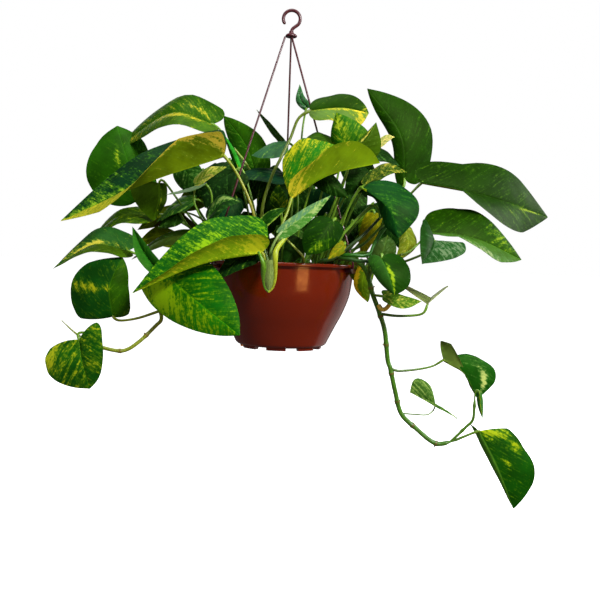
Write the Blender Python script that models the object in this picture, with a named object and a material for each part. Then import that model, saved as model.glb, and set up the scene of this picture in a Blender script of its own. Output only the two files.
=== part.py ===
"""Hanging bowl of golden pothos: a turned plastic bowl of soil on a three-strand hanger, with arching
and trailing leaves.

World frame: metres, +Z up, the plant seen from -Y. The origin is the inner top of the hook, so the whole
object hangs below it. Everything is laid out in millimetres from the centre of the bowl's rim, on the
empty called rim_centre.
"""
import math

import bmesh
import bpy
import numpy as np
from mathutils import Matrix

MM = 0.001
GAP = 0.3                 # clearance that touching pieces keep

# hanger
HOOK_SEAT = 333           # inner top of the hook above the rim
HOOK_WIRE = 2.2           # radius of the hook's wire
HOOK_BEND = 9             # inner radius of the hook
HUB_RADIUS = 8
HUB_BOTTOM = 300
HUB_TOP = 306
STRAND_WIRE = 1.35        # radius of a strand
STRAND_AZIMUTHS = {"strand_front_left": 210, "strand_front_right": 330, "strand_back": 90}
CLIP_WIDTH = 15
CLIP_BOTTOM = -11.5
CLIP_TOP = -5.5

# bowl
RIM_RADIUS = 100.5        # outer radius of the rolled rim
RIM_DEPTH = 4.5           # height of the rolled rim
WALL = 2.0
FOOT_OUTER = 55
FOOT_INNER = 45
FOOT_BOTTOM = -114.5
FLOOR_BOTTOM = -110.5
FEET = 8
FIRST_NOTCH = 16          # azimuth of a gap between two feet, degrees
NOTCH_WIDTH = 17
DRAIN_RADIUS = 4
DRAIN_CIRCLE = 34
BOWL_SIDES = 38
# outer wall below the rim, from the collar down: radius, height
OUTER_WALL = [(94.5, -7.5), (93.9, -15), (92.5, -28), (89.5, -45), (81.5, -66), (73.4, -82), (65.5, -98)]

# Plant measurements are millimetres from the centre of the pot's rim: x to the right, y to the back, z up.
SOIL = -15                # level of the soil below the rim

# Each leaf: base, middle and tip of the midrib; the widest reach of the left and right half from the
# midrib (and, where the leaf twists or folds, the reach nearer the tip); stalk: from the base to its foot.
LEAVES = {
    "leaf_left_top": dict(
        base=(-108, 28, 187), mid=(-162, 31, 202), tip=(-232, 44, 177), left=(0, -38, -20),
        right=(0, 30, 30), left_tip=(5, -30, -36), right_tip=(-4, 30, 26), lobe=0.7,
        stalk=[(-88, 25, 172), (-67, 25, 128), (-48, 27, 52), (-40, 21, SOIL)]),
    "leaf_left_back": dict(
        base=(-203, 58, 85), mid=(-226, 65, 138), tip=(-247, 92, 189), left=(-60, 10, -8),
        right=(24, 22, 8), left_tip=(-52, 10, -6), right_tip=(34, 20, 12),
        stalk=[(-179, 46, 52), (-146, 39, 27), (-104, 36, 17), (-60, 35, SOIL)]),
    "leaf_left_long": dict(
        base=(-79, -70, 131), mid=(-170, -85, 94), tip=(-276, -90, 41), left=(-8, -28, 36),
        right=(-5, 28, 30), left_tip=(0, -38, -26), right_tip=(0, 25, 52), lobe=0.2, stem=2.6,
        stalk=[(-59, -72, 104), (-38, -75, 54), (-30, -62, SOIL)]),
    "leaf_back_upright": dict(
        base=(-47, 80, 116), mid=(-67, 83, 166), tip=(-93, 86, 210), left=(-12, 15, -6),
        right=(14, -10, 6),
        stalk=[(-39, 75, 71), (-35, 59, SOIL)]),
    "leaf_back_narrow": dict(
        base=(-4, 50, 164), mid=(-27, 50, 190), tip=(-45, 50, 212), left=(-2, 16, -2), right=(2, -16, 3),
        stalk=[(0, 46, 120), (-5, 40, SOIL)]),
    "leaf_back_dark": dict(
        base=(4, 18, 120), mid=(-32, 18, 124), tip=(-67, 13, 113), left=(0, -28, -18),
        right=(0, 30, 6),
        stalk=[(16, 20, 97), (14, 23, SOIL)]),
    "leaf_left_dark": dict(
        base=(-68, 1, 122), mid=(-93, -1, 102), tip=(-108, -1, 69), left=(22, -3, -16),
        right=(-22, 5, 12),
        stalk=[(-57, 2, 118), (-37, 1.5, 51), (-26, 0, SOIL)]),
    "leaf_left_marbled": dict(
        base=(-98, -60, 52), mid=(-79, -60, 74), tip=(-56, -65, 75), left=(-4, 20, 13), right=(4, -20, -12),
        stalk=[(-92, -56, 28), (-52, -42, SOIL)]),
    "leaf_left_under": dict(
        base=(-168, -16, 99), mid=(-167, -21, 75), tip=(-174, -16, 48), left=(-39, 8, 5),
        right=(10, 8, 0),
        stalk=[(-160, -14, 100), (-122, -10, 51), (-89, -2, 20), (-48, 6, SOIL)]),
    "leaf_left_mottled": dict(
        base=(-182, 10, 58), mid=(-225, 10, 54), tip=(-258, 20, 26), left=(0, -30, -14), right=(-5, 35, 12),
        stalk=[(-150, 12, 56), (-105, 14, 24), (-58, 14, SOIL)]),
    "leaf_left_low": dict(
        base=(-189, -50, 10), mid=(-242, -55, 14), tip=(-292, -60, -18), left=(0, -28, -10), right=(0, 30, 24),
        host="vine_left", stalk=[(-170, -56, -2), (-152, -66, -8), (-139, -73, -8)]),
    "leaf_left_furled": dict(
        base=(-158, -72, -15), mid=(-177, -74, 10), tip=(-190, -77, 38), left=(-5, -9, -3), right=(6, -9, 3),
        host="vine_left", stalk=[(-150, -74, -22), (-145, -77, -22)]),
    "leaf_left_shade": dict(
        base=(-122, -22, 34), mid=(-154, -24, 26), tip=(-185, -24, 1), left=(0, -22, -12),
        right=(0, 18, 8),
        stalk=[(-101, -20, 24), (-66, -16, SOIL)]),
    "leaf_left_brown": dict(
        base=(-126, 24, 42), mid=(-154, 26, 53), tip=(-181, 26, 42), left=(0, -14, 12), right=(0, 20, 8),
        stalk=[(-105, 24, 27), (-58, 24, SOIL)]),
    "leaf_front_long": dict(
        base=(-26, -130, 11), mid=(-96, -145, -5), tip=(-175, -150, -42), left=(0, -18, 24),
        right=(-6, 30, 50), left_tip=(0, -20, 14), right_tip=(-4, 30, 56), lobe=0.6, stem=2.2,
        host="stem_front", stalk=[(-23, -131, 5), (-20.5, -129, -8), (-19, -126, -18)]),
    "leaf_front_lime": dict(
        base=(-151, -110, -13), mid=(-101, -140, -49), tip=(-48, -150, -87), left=(30, 10, 33),
        right=(-26, 10, -30),
        host="vine_left", stalk=[(-150, -105, -8), (-142, -94, -4), (-134, -84, -5)]),
    "leaf_front_shade": dict(
        base=(-30, -108, 12), mid=(-58, -112, -1), tip=(-84, -114, -25), left=(0, -15, -14),
        right=(0, 4, 22),
        stalk=[(-26, -103, 14), (-26, -92, 10), (-24, -80, SOIL)]),
    "leaf_centre_gold": dict(
        base=(7, -100, 78), mid=(55, -100, 103), tip=(116, -90, 127), left=(-15, 25, 58),
        right=(-2, -15, 24), left_tip=(-5, 15, 30), right_tip=(0, -15, 38), stem=2.2,
        host="stem_front",
        stalk=[(3, -104, 63), (-3, -112, 45), (-8, -126, 14), (-10, -130, -4), (-14, -129, -24)]),
    "leaf_centre_blue": dict(
        base=(-11, -134.5, 18.5), mid=(20, -130, 50), tip=(54, -120, 82), left=(-5, 5, 12),
        right=(8, -8, -11),
        host="stem_front", stalk=[(-13.5, -135, 9), (-15, -130, -2), (-15, -124, -6)]),
    "leaf_centre_small": dict(
        base=(-30, -90, 45), mid=(-14, -92, 59), tip=(3, -92, 68), left=(-5, 6, 8), right=(5, -6, -8),
        stalk=[(-30, -86, 32), (-17, -71, SOIL)]),
    "leaf_centre_heart": dict(
        base=(59, -110, 53), mid=(43, -118, 30), tip=(29, -118, 3), left=(16, 8, -12), right=(-23, 8, 6),
        stalk=[(62, -100, 54), (54, -78, 22), (42, -58, SOIL)]),
    "leaf_right_blue": dict(
        base=(95, -90, 95), mid=(126, -105, 70), tip=(139, -110, 34), left=(36, 10, 14), right=(2, 22, 2),
        left_tip=(48, 10, 8), right_tip=(-14, 18, -10),
        stalk=[(90, -84, 94), (76, -72, 62), (54, -60, SOIL)]),
    "leaf_right_shade": dict(
        base=(109, -32, 122), mid=(93, -41, 108), tip=(76, -40, 90), left=(14, 5, -12),
        right=(-14, 5, 12),
        stalk=[(109, -26, 119), (83, -18, 60), (52, -10, SOIL)]),
    "leaf_top_centre": dict(
        base=(28, -34, 198), mid=(68, -38, 202), tip=(104, -38, 197), left=(8, 8, 24),
        right=(8, -12, -16), left_tip=(10, 8, 28), right_tip=(4, -10, -34), lobe=0.6,
        stalk=[(13, -34, 187), (5, -34, 157), (0, -36, 90), (0, -34, SOIL)]),
    "leaf_top_small": dict(
        base=(26, 34, 214), mid=(15, 35, 227), tip=(14, 40, 247), left=(-6, 5, -3), right=(6, -5, 3),
        stalk=[(23, 35, 208), (19, 36, 166), (19, 38, 62), (12, 36, SOIL)]),
    "leaf_top_olive": dict(
        base=(56, -45, 159), mid=(35, -47, 163), tip=(13, -45, 150), left=(0, -16, -13),
        right=(0, 18, 8),
        stalk=[(58, -40, 147), (40, -30, 60), (24, -26, SOIL)]),
    "leaf_top_mottled": dict(
        base=(79, -60, 135), mid=(67, -66, 161), tip=(60, -66, 191), left=(-14, 8, 0),
        right=(34, 4, 14),
        stalk=[(76, -56, 116), (50, -42, 40), (38, -34, SOIL)]),
    "leaf_top_under": dict(
        base=(81, -76, 137), mid=(98, -78, 156), tip=(110, -74, 179), left=(22, 8, -10),
        right=(-5, 8, 5),
        stalk=[(78, -72, 122), (58, -58, 50), (42, -46, SOIL)]),
    "leaf_right_inner": dict(
        base=(111, -6, 151), mid=(132, -6, 148), tip=(151, -8, 134), left=(0, 16, 10),
        right=(0, -12, -12),
        stalk=[(98, -2.5, 136), (63, 4.5, 51), (40, 4, SOIL)]),
    "leaf_right_striped": dict(
        base=(100, -60, 102), mid=(129, -60, 121), tip=(153, -62, 120), left=(0, 12, 14), right=(0, -14, -8),
        stalk=[(90, -54, 90), (64, -44, 35), (50, -38, SOIL)]),
    "leaf_right_top": dict(
        base=(164, 32, 120), mid=(156, 32, 182), tip=(108, 44, 246), left=(-6, 22, 6),
        right=(40, 10, 20), left_tip=(-4, 20, 0), right_tip=(40, 10, 26), stem=2.2,
        stalk=[(161, 30, 107), (139, 32, 71), (104, 30, 29), (64, 22, SOIL)]),
    "leaf_right_long": dict(
        base=(175, -46, 109), mid=(267, -21, 97), tip=(364, 24, 75), left=(12, 25, 36),
        right=(0, -38, -5), left_tip=(8, 25, 62), right_tip=(8, -15, -54), lobe=0.7, stem=2.2,
        stalk=[(160, -48, 93), (136, -46, 64), (106, -37, 30), (84, -34, 14), (67, -33, SOIL)]),
    "leaf_right_low": dict(
        base=(184, -62, 44), mid=(243, -62, 39), tip=(307, -54, 14), left=(8, 22, 35),
        right=(0, -28, -3), left_tip=(2, 22, 42), right_tip=(0, -25, -24), lobe=0.7,
        stalk=[(157, -66, 18), (130, -68, 14), (98, -60, 16), (78, -50, 6), (67, -46, SOIL)]),
    "leaf_right_small": dict(
        base=(183, -110, 28), mid=(175, -138, 20), tip=(160, -160, 8), left=(42, 8, 8), right=(-10, 10, 32),
        host="vine_right", stalk=[(176, -106, 20), (156, -98, 9), (124, -90, -3), (108, -83, -9)]),
    "leaf_right_heart": dict(
        base=(118, -130, 10), mid=(117, -140, -12), tip=(104, -140, -36), left=(36, 8, 2), right=(-14, 12, 0),
        left_tip=(56, 6, -20),
        host="vine_right", stalk=[(118, -120, 14), (112, -100, 4), (110, -84, -16)]),
    "leaf_right_lime": dict(
        base=(126, -100, -38), mid=(149, -105, -44), tip=(172, -100, -42), left=(0, 12, 10), right=(0, -12, -8),
        host="vine_right", stalk=[(120, -94, -37), (116, -85, -36)]),
    "leaf_shoot_small": dict(
        base=(181, -90, -46), mid=(187, -68, -44), tip=(193, -45, -39), left=(-24, 10, 26), right=(26, 10, 22),
        host="vine_right", stalk=[(177, -91, -56), (168, -88, -60), (145, -83, -62), (126, -80, -60)]),
    "leaf_right_yellow": dict(
        base=(118, -25, 69), mid=(110, -25, 38), tip=(103, -24, 9), left=(13, 4, 0), right=(-13, 4, 0),
        stalk=[(112, -18, 72), (84, -12, 40), (56, -10, SOIL)]),
    "leaf_right_olive": dict(
        base=(161, -40, 52), mid=(166, -44, 28), tip=(150, -42, 4), left=(12, 5, -2),
        right=(-12, 5, 2),
        stalk=[(152, -30, 54), (130, -2, 52), (84, 8, 20), (58, 7, SOIL)]),
    "leaf_right_gold": dict(
        base=(112, -48, 1), mid=(108, -50, -26), tip=(111, -48, -47), left=(12, 6, 0),
        right=(-8, 3, 0),
        stalk=[(110, -42, 9), (97, -38, 12), (72, -31, SOIL)]),
    "leaf_vine_middle": dict(
        base=(210, -60, -118), mid=(238, -62, -136), tip=(256, -62, -167), left=(36, 6, 10),
        right=(-8, -12, 30), left_tip=(50, 6, 6), right_tip=(0, 8, 0), lobe=0.3,
        host="vine_right",
        stalk=[(197, -56, -127), (175, -64, -131), (151, -68, -133), (143, -68, -129)]),
    "leaf_vine_small": dict(
        base=(204, -50, -178), mid=(187, -50, -170), tip=(170, -50, -163), left=(32, -10, -18),
        right=(-6, 6, 26), right_tip=(-10, 6, 30), lobe=0.3, stem=1.1,
        host="vine_right",
        stalk=[(202, -48, -186), (193, -54, -191), (176, -60, -190), (161, -62, -187)]),
    "leaf_vine_new": dict(
        base=(256, -71, -160), mid=(258, -72, -176), tip=(261, -72, -191), left=(5, 5, 0), right=(-3, 5, 0),
        stem=1.2, host="shoot_right", stalk=[(255, -71, -156), (252, -71, -154), (250, -71, -158)]),
    "leaf_vine_end": dict(
        base=(258, -70, -207), mid=(283, -74, -254), tip=(307, -70, -307), left=(46, 8, 4), right=(-10, 14, 8),
        left_tip=(56, 8, 8), right_tip=(-3, 14, -2),
        host="vine_right", stalk=[(248, -69, -211), (232, -66, -219)]),
    "leaf_low_left_upper": dict(
        base=(-213, -70, -76), mid=(-224, -78, -37), tip=(-203, -70, 0), left=(-44, 8, -4),
        right=(3, 12, 4), left_tip=(-48, 8, 16), right_tip=(24, 12, 0),
        host="vine_left", stalk=[(-203, -75, -80), (-180, -78, -76), (-159, -80, -67)]),
    "leaf_low_left_end": dict(
        base=(-245, -110, -102), mid=(-238, -118, -130), tip=(-229, -115, -161), left=(26, -5, 26),
        right=(-44, 8, -16), left_tip=(26, -2, 10), lobe=0.6,
        host="vine_left",
        stalk=[(-247, -106, -95), (-238, -106, -94), (-228, -107, -100), (-222, -105, -108)]),
}

# Trailing vines and shoots: radius, what they grow from (None is the soil), and the route outwards.
VINES = {
    "vine_right": (3.0, None, [
        (58, -46, SOIL), (74, -60, 8), (92, -72, 5), (105, -78, -9), (113, -80, -35), (122, -78, -57),
        (131, -74, -82), (137, -68, -119), (141, -68, -131), (149, -64, -161), (158, -62, -189),
        (177, -62, -207), (204, -64, -226), (228, -66, -221)]),
    "shoot_right": (1.8, "vine_right", [
        (222, -66, -218), (241, -68, -203), (249, -70, -193), (250, -71, -177), (250, -71, -159)]),
    "vine_left": (2.4, None, [
        (-46, -54, SOIL), (-72, -62, 12), (-94, -70, 10), (-120, -76, 2), (-138, -78, -10),
        (-150, -80, -35), (-152, -81, -60), (-150, -83, -76), (-156, -86, -84), (-175, -95, -104),
        (-193, -100, -115), (-217, -102, -112), (-232, -101, -105)]),
    "shoot_left": (1.0, "vine_left", [(-233, -101, -104), (-250, -102, -96), (-268, -104, -80)]),
    "stem_front": (3.0, None, [
        (-8, -64, SOIL), (-10, -84, 8), (-12, -106, 11), (-14, -118, 0), (-16, -122, -18), (-16.5, -123, -33)]),
}

# The open sheath in front of the front stem, from its point upwards.
SHEATH_ROUTE = [(-16.6, -127.4, -36), (-16.5, -136, -22), (-16, -143, -4), (-15.5, -148, 13)]
SHEATH_HALF_WIDTHS = [2.0, 5.5, 7.0, 7.6, 8.0, 8.2, 8.2]
SHEATH_THICKNESS = 0.8

# Half of a blade's outline, from the notch round the lobe to the tip: share of the midrib's length,
# share of the greatest reach.
HALF_OUTLINE = [(0.0, 0.0), (-0.06, 0.18), (-0.095, 0.42), (-0.06, 0.70), (0.06, 0.92), (0.24, 1.0),
                (0.44, 0.90), (0.62, 0.66), (0.78, 0.37), (0.90, 0.14), (1.0, 0.0)]
BLADE_ROWS = 7            # sections along a blade
BLADE_COLUMNS = 2         # strips in each half of a blade
BLADE_THICKNESS = 0.9
RIB_THICKNESS = 1.6
STEM_RADIUS = 1.7         # a leaf stalk, where its entry doesn't say
ROW_POWER = 1.6           # how the sections fan out from the notch
WIDE_AT = 0.25            # share of the midrib where the reaches are measured
TIP_REACH_AT = 0.65

COLOURS = {
    "leaf_green": ((0.06, 0.22, 0.03), 0.35),
    "stem_green": ((0.20, 0.36, 0.08), 0.4),
    "bowl_plastic": ((0.33, 0.05, 0.02), 0.18),
    "hanger_plastic": ((0.12, 0.02, 0.03), 0.35),
    "potting_soil": ((0.05, 0.03, 0.02), 0.95),
}


def unit(vector):
    return vector / max(np.linalg.norm(vector), 1e-9)


def smooth_curve(points, count):
    """count points, evenly spaced, on a smooth curve through the given points."""
    given = np.asarray(points, float)
    given = np.vstack([2 * given[0] - given[1], given, 2 * given[-1] - given[-2]])
    fine = []
    for before, start, end, after in zip(given, given[1:], given[2:], given[3:]):
        for t in np.linspace(0, 1, 16, endpoint=False):
            fine.append(0.5 * (2 * start + (end - before) * t
                               + (2 * before - 5 * start + 4 * end - after) * t ** 2
                               + (3 * start - before - 3 * end + after) * t ** 3))
    fine = np.array(fine + [given[-2]])
    steps = np.linalg.norm(np.diff(fine, axis=0), axis=1)
    gone = np.concatenate([[0], np.cumsum(steps)])
    wanted = np.linspace(0, gone[-1], count)
    return np.stack([np.interp(wanted, gone, fine[:, axis]) for axis in range(fine.shape[1])], axis=1)


def route_length(points):
    return np.linalg.norm(np.diff(np.asarray(points, float), axis=0), axis=1).sum()


def ring_frames(path, first_side, last_direction=None, ahead=None):
    """Directions along a path and two crosswise ones that turn as little as possible.

    ahead is the direction of what the path's start joins on to: the first ring is mitred to it.
    """
    along = np.gradient(path, axis=0)
    if ahead is not None:
        along[0] = unit(along[0]) - ahead
    if last_direction is not None:
        along[-1] = last_direction
    side = np.asarray(first_side, float)
    frames = []
    for direction in along:
        direction = unit(direction)
        side = unit(side - direction * (side @ direction))
        frames.append((direction, side, np.cross(direction, side)))
    return frames


class Blade:
    """The middle surface of one leaf blade."""

    def __init__(self, leaf):
        self.leaf = leaf
        self.outline = smooth_curve(HALF_OUTLINE, 97)
        self.rib = smooth_curve([leaf["base"], leaf["mid"], leaf["tip"]], 65)
        self.length = route_length(self.rib)
        left, right = np.array(leaf["left"], float), np.array(leaf["right"], float)
        self.side = unit(right - left)
        self.up = unit(np.cross(self.side, self.rib[-1] - self.rib[0]))
        arrival = unit(self.rib[0] - np.array(leaf["stalk"][0], float))
        self.lobe = leaf.get("lobe", np.clip(arrival @ unit(self.rib[1] - self.rib[0]), 0, 1))

    def rib_at(self, share):
        if share < 0:
            return self.rib[0] + unit(self.rib[1] - self.rib[0]) * share * self.length
        place = share * (len(self.rib) - 1)
        return np.array([np.interp(place, range(len(self.rib)), self.rib[:, axis]) for axis in range(3)])

    def point(self, row, across):
        """row 0..1 from the notch to the tip, across -1..1 from the left margin to the right one."""
        place = row * (len(self.outline) - 1)
        back, wide = [np.interp(place, range(len(self.outline)), self.outline[:, axis]) for axis in range(2)]
        if back < 0:
            back *= self.lobe
        root = row ** ROW_POWER
        share = root + abs(across) * (back - root)
        half = "left" if across < 0 else "right"
        reach = np.array(self.leaf[half], float)
        tip_reach = np.array(self.leaf.get(half + "_tip", self.leaf[half]), float)
        turn = np.clip((share - WIDE_AT) / (TIP_REACH_AT - WIDE_AT), 0, 1.2)
        return self.rib_at(share) + (reach + (tip_reach - reach) * turn) * wide * abs(across)


def seat(foot, host):
    """Where a stalk ends: on the soil, or against its vine. Returns the place and the direction outwards."""
    foot = np.array(foot, float)
    if host is None:
        return foot + [0, 0, GAP], np.array([0.0, 0.0, 1.0])
    radius, _, route = VINES[host]
    path = smooth_curve(route, vine_rings(route))
    nearest = np.argmin(np.linalg.norm(path - foot, axis=1))
    if nearest == len(path) - 1:
        direction = unit(path[-1] - path[-2])
        return path[-1] + direction * GAP, direction
    along = unit(path[nearest + 1] - path[nearest - 1])
    direction = foot - path[nearest]
    direction = unit(direction - along * (direction @ along))
    return path[nearest] + direction * (radius + GAP), direction


def vine_rings(route):
    return int(route_length(route) / 9) + 3


def rim_centre():
    empty = bpy.data.objects.new("rim_centre", None)
    empty.location = (0, 0, -HOOK_SEAT * MM)
    bpy.context.scene.collection.objects.link(empty)
    return empty


def material(name):
    if name not in bpy.data.materials:
        colour, roughness = COLOURS[name]
        made = bpy.data.materials.new(name)
        made.use_nodes = True
        shader = made.node_tree.nodes["Principled BSDF"]
        shader.inputs["Base Color"].default_value = (*colour, 1)
        shader.inputs["Roughness"].default_value = roughness
    return bpy.data.materials[name]


def add_object(name, mesh, slot, parent, smooth=True):
    """mesh is a bmesh in millimetres from the rim's centre."""
    bmesh.ops.scale(mesh, vec=(MM, MM, MM), verts=mesh.verts)
    bmesh.ops.recalc_face_normals(mesh, faces=mesh.faces)
    data = bpy.data.meshes.new(name)
    mesh.to_mesh(data)
    mesh.free()
    if smooth:
        data.shade_smooth()
        data.set_sharp_from_angle(angle=math.radians(50))
    data.materials.append(material(slot))
    made = bpy.data.objects.new(name, data)
    made.parent = parent
    bpy.context.scene.collection.objects.link(made)
    return made


def loft(rings, start_cap=True, end_point=None):
    """A closed skin through rings of equal count, ending in a cap or a point."""
    mesh = bmesh.new()
    loops = [[mesh.verts.new(point) for point in ring] for ring in rings]
    count = len(loops[0])
    for near, far in zip(loops, loops[1:]):
        for i in range(count):
            j = (i + 1) % count
            mesh.faces.new((near[i], near[j], far[j], far[i]))
    if start_cap:
        mesh.faces.new(loops[0][::-1])
    if end_point is None:
        mesh.faces.new(loops[-1])
    else:
        point = mesh.verts.new(end_point)
        for i in range(count):
            mesh.faces.new((loops[-1][i], loops[-1][(i + 1) % count], point))
    bmesh.ops.triangulate(mesh, faces=mesh.faces)
    return mesh


def turned(profile, sides):
    """A closed profile of (radius, height) turned round the bowl's axis."""
    mesh = bmesh.new()
    points = [mesh.verts.new((radius, 0, height)) for radius, height in profile]
    edges = [mesh.edges.new((a, b)) for a, b in zip(points, points[1:] + points[:1])]
    bmesh.ops.spin(mesh, geom=points + edges, cent=(0, 0, 0), axis=(0, 0, 1), angle=2 * math.pi,
                   steps=sides, use_duplicate=False)
    bmesh.ops.remove_doubles(mesh, verts=mesh.verts, dist=0.01)
    return mesh


def arc(centre, radius, start, end, steps):
    """Points of an arc in (radius, height), angles in degrees."""
    angles = np.radians(np.linspace(start, end, steps))
    return [(centre[0] + radius * math.cos(a), centre[1] + radius * math.sin(a)) for a in angles]


def bowl_profile():
    corner = arc((54.5, FLOOR_BOTTOM + 8), 8, -10, -80, 4)
    foot = [(FOOT_OUTER, FLOOR_BOTTOM), (FOOT_OUTER - 1, FOOT_BOTTOM), (FOOT_INNER + 1, FOOT_BOTTOM),
            (FOOT_INNER, FLOOR_BOTTOM)]
    inside = [(radius - WALL, height) for radius, height in reversed(OUTER_WALL)]
    lip = [(RIM_RADIUS - 7, -1), (RIM_RADIUS - 5, 0), (RIM_RADIUS - 1.2, 0)]
    lip += [(RIM_RADIUS, -1.2), (RIM_RADIUS - 0.4, -RIM_DEPTH), (RIM_RADIUS - 2, -RIM_DEPTH)]
    lip += [(RIM_RADIUS - 2.6, -RIM_DEPTH + 2.5), (OUTER_WALL[0][0] + 0.4, -RIM_DEPTH + 2.5)]
    floor = [(0.0, FLOOR_BOTTOM + WALL), (52.5, FLOOR_BOTTOM + WALL), (57.5, FLOOR_BOTTOM + 5)]
    return lip + OUTER_WALL + corner + foot + [(0.0, FLOOR_BOTTOM)] + floor + inside


def cutter(name, mesh, target):
    made = add_object(name, mesh, "bowl_plastic", target.parent, smooth=False)
    made.hide_render = True
    made.display_type = "WIRE"
    cut = target.modifiers.new(name, "BOOLEAN")
    cut.object = made
    cut.operation = "DIFFERENCE"
    cut.solver = "EXACT"


def turn_about_axis(mesh, degrees):
    matrix = Matrix.Rotation(math.radians(degrees), 3, "Z")
    bmesh.ops.rotate(mesh, cent=(0, 0, 0), matrix=matrix, verts=mesh.verts)


def add_bowl(parent):
    bowl = add_object("bowl", turned(bowl_profile(), BOWL_SIDES), "bowl_plastic", parent)
    for k in range(FEET // 2):
        mesh = bmesh.new()
        bmesh.ops.create_cube(mesh, size=1)
        bmesh.ops.scale(mesh, vec=(2.4 * FOOT_OUTER, NOTCH_WIDTH, 6), verts=mesh.verts)
        bmesh.ops.translate(mesh, vec=(0, 0, FLOOR_BOTTOM - 3.4), verts=mesh.verts)
        turn_about_axis(mesh, FIRST_NOTCH + 360 / FEET * k)
        cutter(f"foot_notch_{k + 1}", mesh, bowl)
    for k in range(6):
        mesh = bmesh.new()
        bmesh.ops.create_cone(mesh, cap_ends=True, segments=12, radius1=DRAIN_RADIUS,
                              radius2=DRAIN_RADIUS, depth=12)
        turn = math.radians(60 * k + 50)
        bmesh.ops.translate(mesh, vec=(DRAIN_CIRCLE * math.cos(turn), DRAIN_CIRCLE * math.sin(turn),
                                       FLOOR_BOTTOM), verts=mesh.verts)
        cutter(f"drain_hole_{k + 1}", mesh, bowl)


def add_soil(parent):
    clear = WALL + GAP + 0.5
    side = [(radius - clear, height) for radius, height in OUTER_WALL[2:]]
    profile = [(0.0, SOIL), (OUTER_WALL[1][0] - clear, SOIL)] + side
    profile += [(57, FLOOR_BOTTOM + 6), (52, FLOOR_BOTTOM + WALL + GAP), (0.0, FLOOR_BOTTOM + WALL + GAP)]
    add_object("soil", turned(profile, 28), "potting_soil", parent)


def circle(centre, radius, side, over, sides=8):
    angles = [math.pi - 2 * math.pi * i / sides for i in range(sides)]
    return [centre + radius * (math.cos(a) * side + math.sin(a) * over) for a in angles]


def tube(path, radii, first_side, last_direction=None, ahead=None):
    frames = ring_frames(path, first_side, last_direction, ahead)
    return [circle(point, radius, side, over)
            for point, radius, (_, side, over) in zip(path, radii, frames)]


def hook_path():
    """Up from the hub, over the bend and down to a short open end."""
    centre = HOOK_SEAT - HOOK_BEND
    radius = HOOK_BEND + HOOK_WIRE
    bend = [(radius * math.cos(a), 0, centre + radius * math.sin(a))
            for a in np.radians(np.arange(-40, 221, 20))]
    return [(0, 0, HUB_TOP - 1), (0, 0, HUB_TOP + 2), (2.5, 0, centre - radius - 1)] + bend


def add_hook(parent):
    """The hub that the strands hang from, and the hook above it, moulded in one."""
    path = np.array(hook_path(), float)
    wire = loft(tube(path, [HOOK_WIRE] * len(path), (0, 1, 0)))
    hook = add_object("hanger_hook", wire, "hanger_plastic", parent)
    hub = bmesh.new()
    bmesh.ops.create_cone(hub, cap_ends=True, segments=20, radius1=HUB_RADIUS, radius2=HUB_RADIUS - 1.5,
                          depth=HUB_TOP - HUB_BOTTOM)
    bmesh.ops.translate(hub, vec=(0, 0, (HUB_TOP + HUB_BOTTOM) / 2), verts=hub.verts)
    made = add_object("hub", hub, "hanger_plastic", parent, smooth=False)
    made.hide_render = True
    made.display_type = "WIRE"
    join = hook.modifiers.new("hub", "BOOLEAN")
    join.object = made
    join.operation = "UNION"
    join.solver = "EXACT"


def add_strand(name, azimuth, parent):
    """A straight strand from under the hub to the outside of the rim, with its snap below the rim."""
    outward = np.array([math.cos(math.radians(azimuth)), math.sin(math.radians(azimuth)), 0])
    across = np.array([-outward[1], outward[0], 0])
    reach = RIM_RADIUS + STRAND_WIRE + GAP + 0.4
    low = outward * reach + [0, 0, 4]
    top = outward * (HUB_RADIUS - 3) + [0, 0, HUB_BOTTOM - 3 * GAP]
    path = np.array([top, top + (low - top) * 0.5, low, outward * reach + [0, 0, CLIP_TOP - 0.5]])
    wire = loft(tube(path, [STRAND_WIRE] * 4, across, (0, 0, -1)))
    strand = add_object(name, wire, "hanger_plastic", parent)
    snap = bmesh.new()
    inner, outer = OUTER_WALL[0][0] + 0.8, reach + STRAND_WIRE + 0.6
    bmesh.ops.create_cube(snap, size=1)
    bmesh.ops.scale(snap, vec=(outer - inner, CLIP_WIDTH, CLIP_TOP - CLIP_BOTTOM), verts=snap.verts)
    bmesh.ops.translate(snap, vec=((outer + inner) / 2, 0, (CLIP_TOP + CLIP_BOTTOM) / 2), verts=snap.verts)
    turn_about_axis(snap, azimuth)
    made = add_object(name + "_snap", snap, "hanger_plastic", parent, smooth=False)
    made.hide_render = True
    made.display_type = "WIRE"
    join = strand.modifiers.new("snap", "BOOLEAN")
    join.object = made
    join.operation = "UNION"
    join.solver = "EXACT"


def add_vine(name, parent):
    radius, host, route = VINES[name]
    foot, direction = seat(route[0], host)
    path = smooth_curve([foot] + list(route[1:]), vine_rings(route))[::-1]
    tips = min(3, len(path))
    radii = [radius * (0.75 + 0.25 * min(i, tips) / tips) for i in range(len(path))]
    add_object(name, loft(tube(path, radii, (0, 1, 0.2), -direction)), "stem_green", parent)


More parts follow.
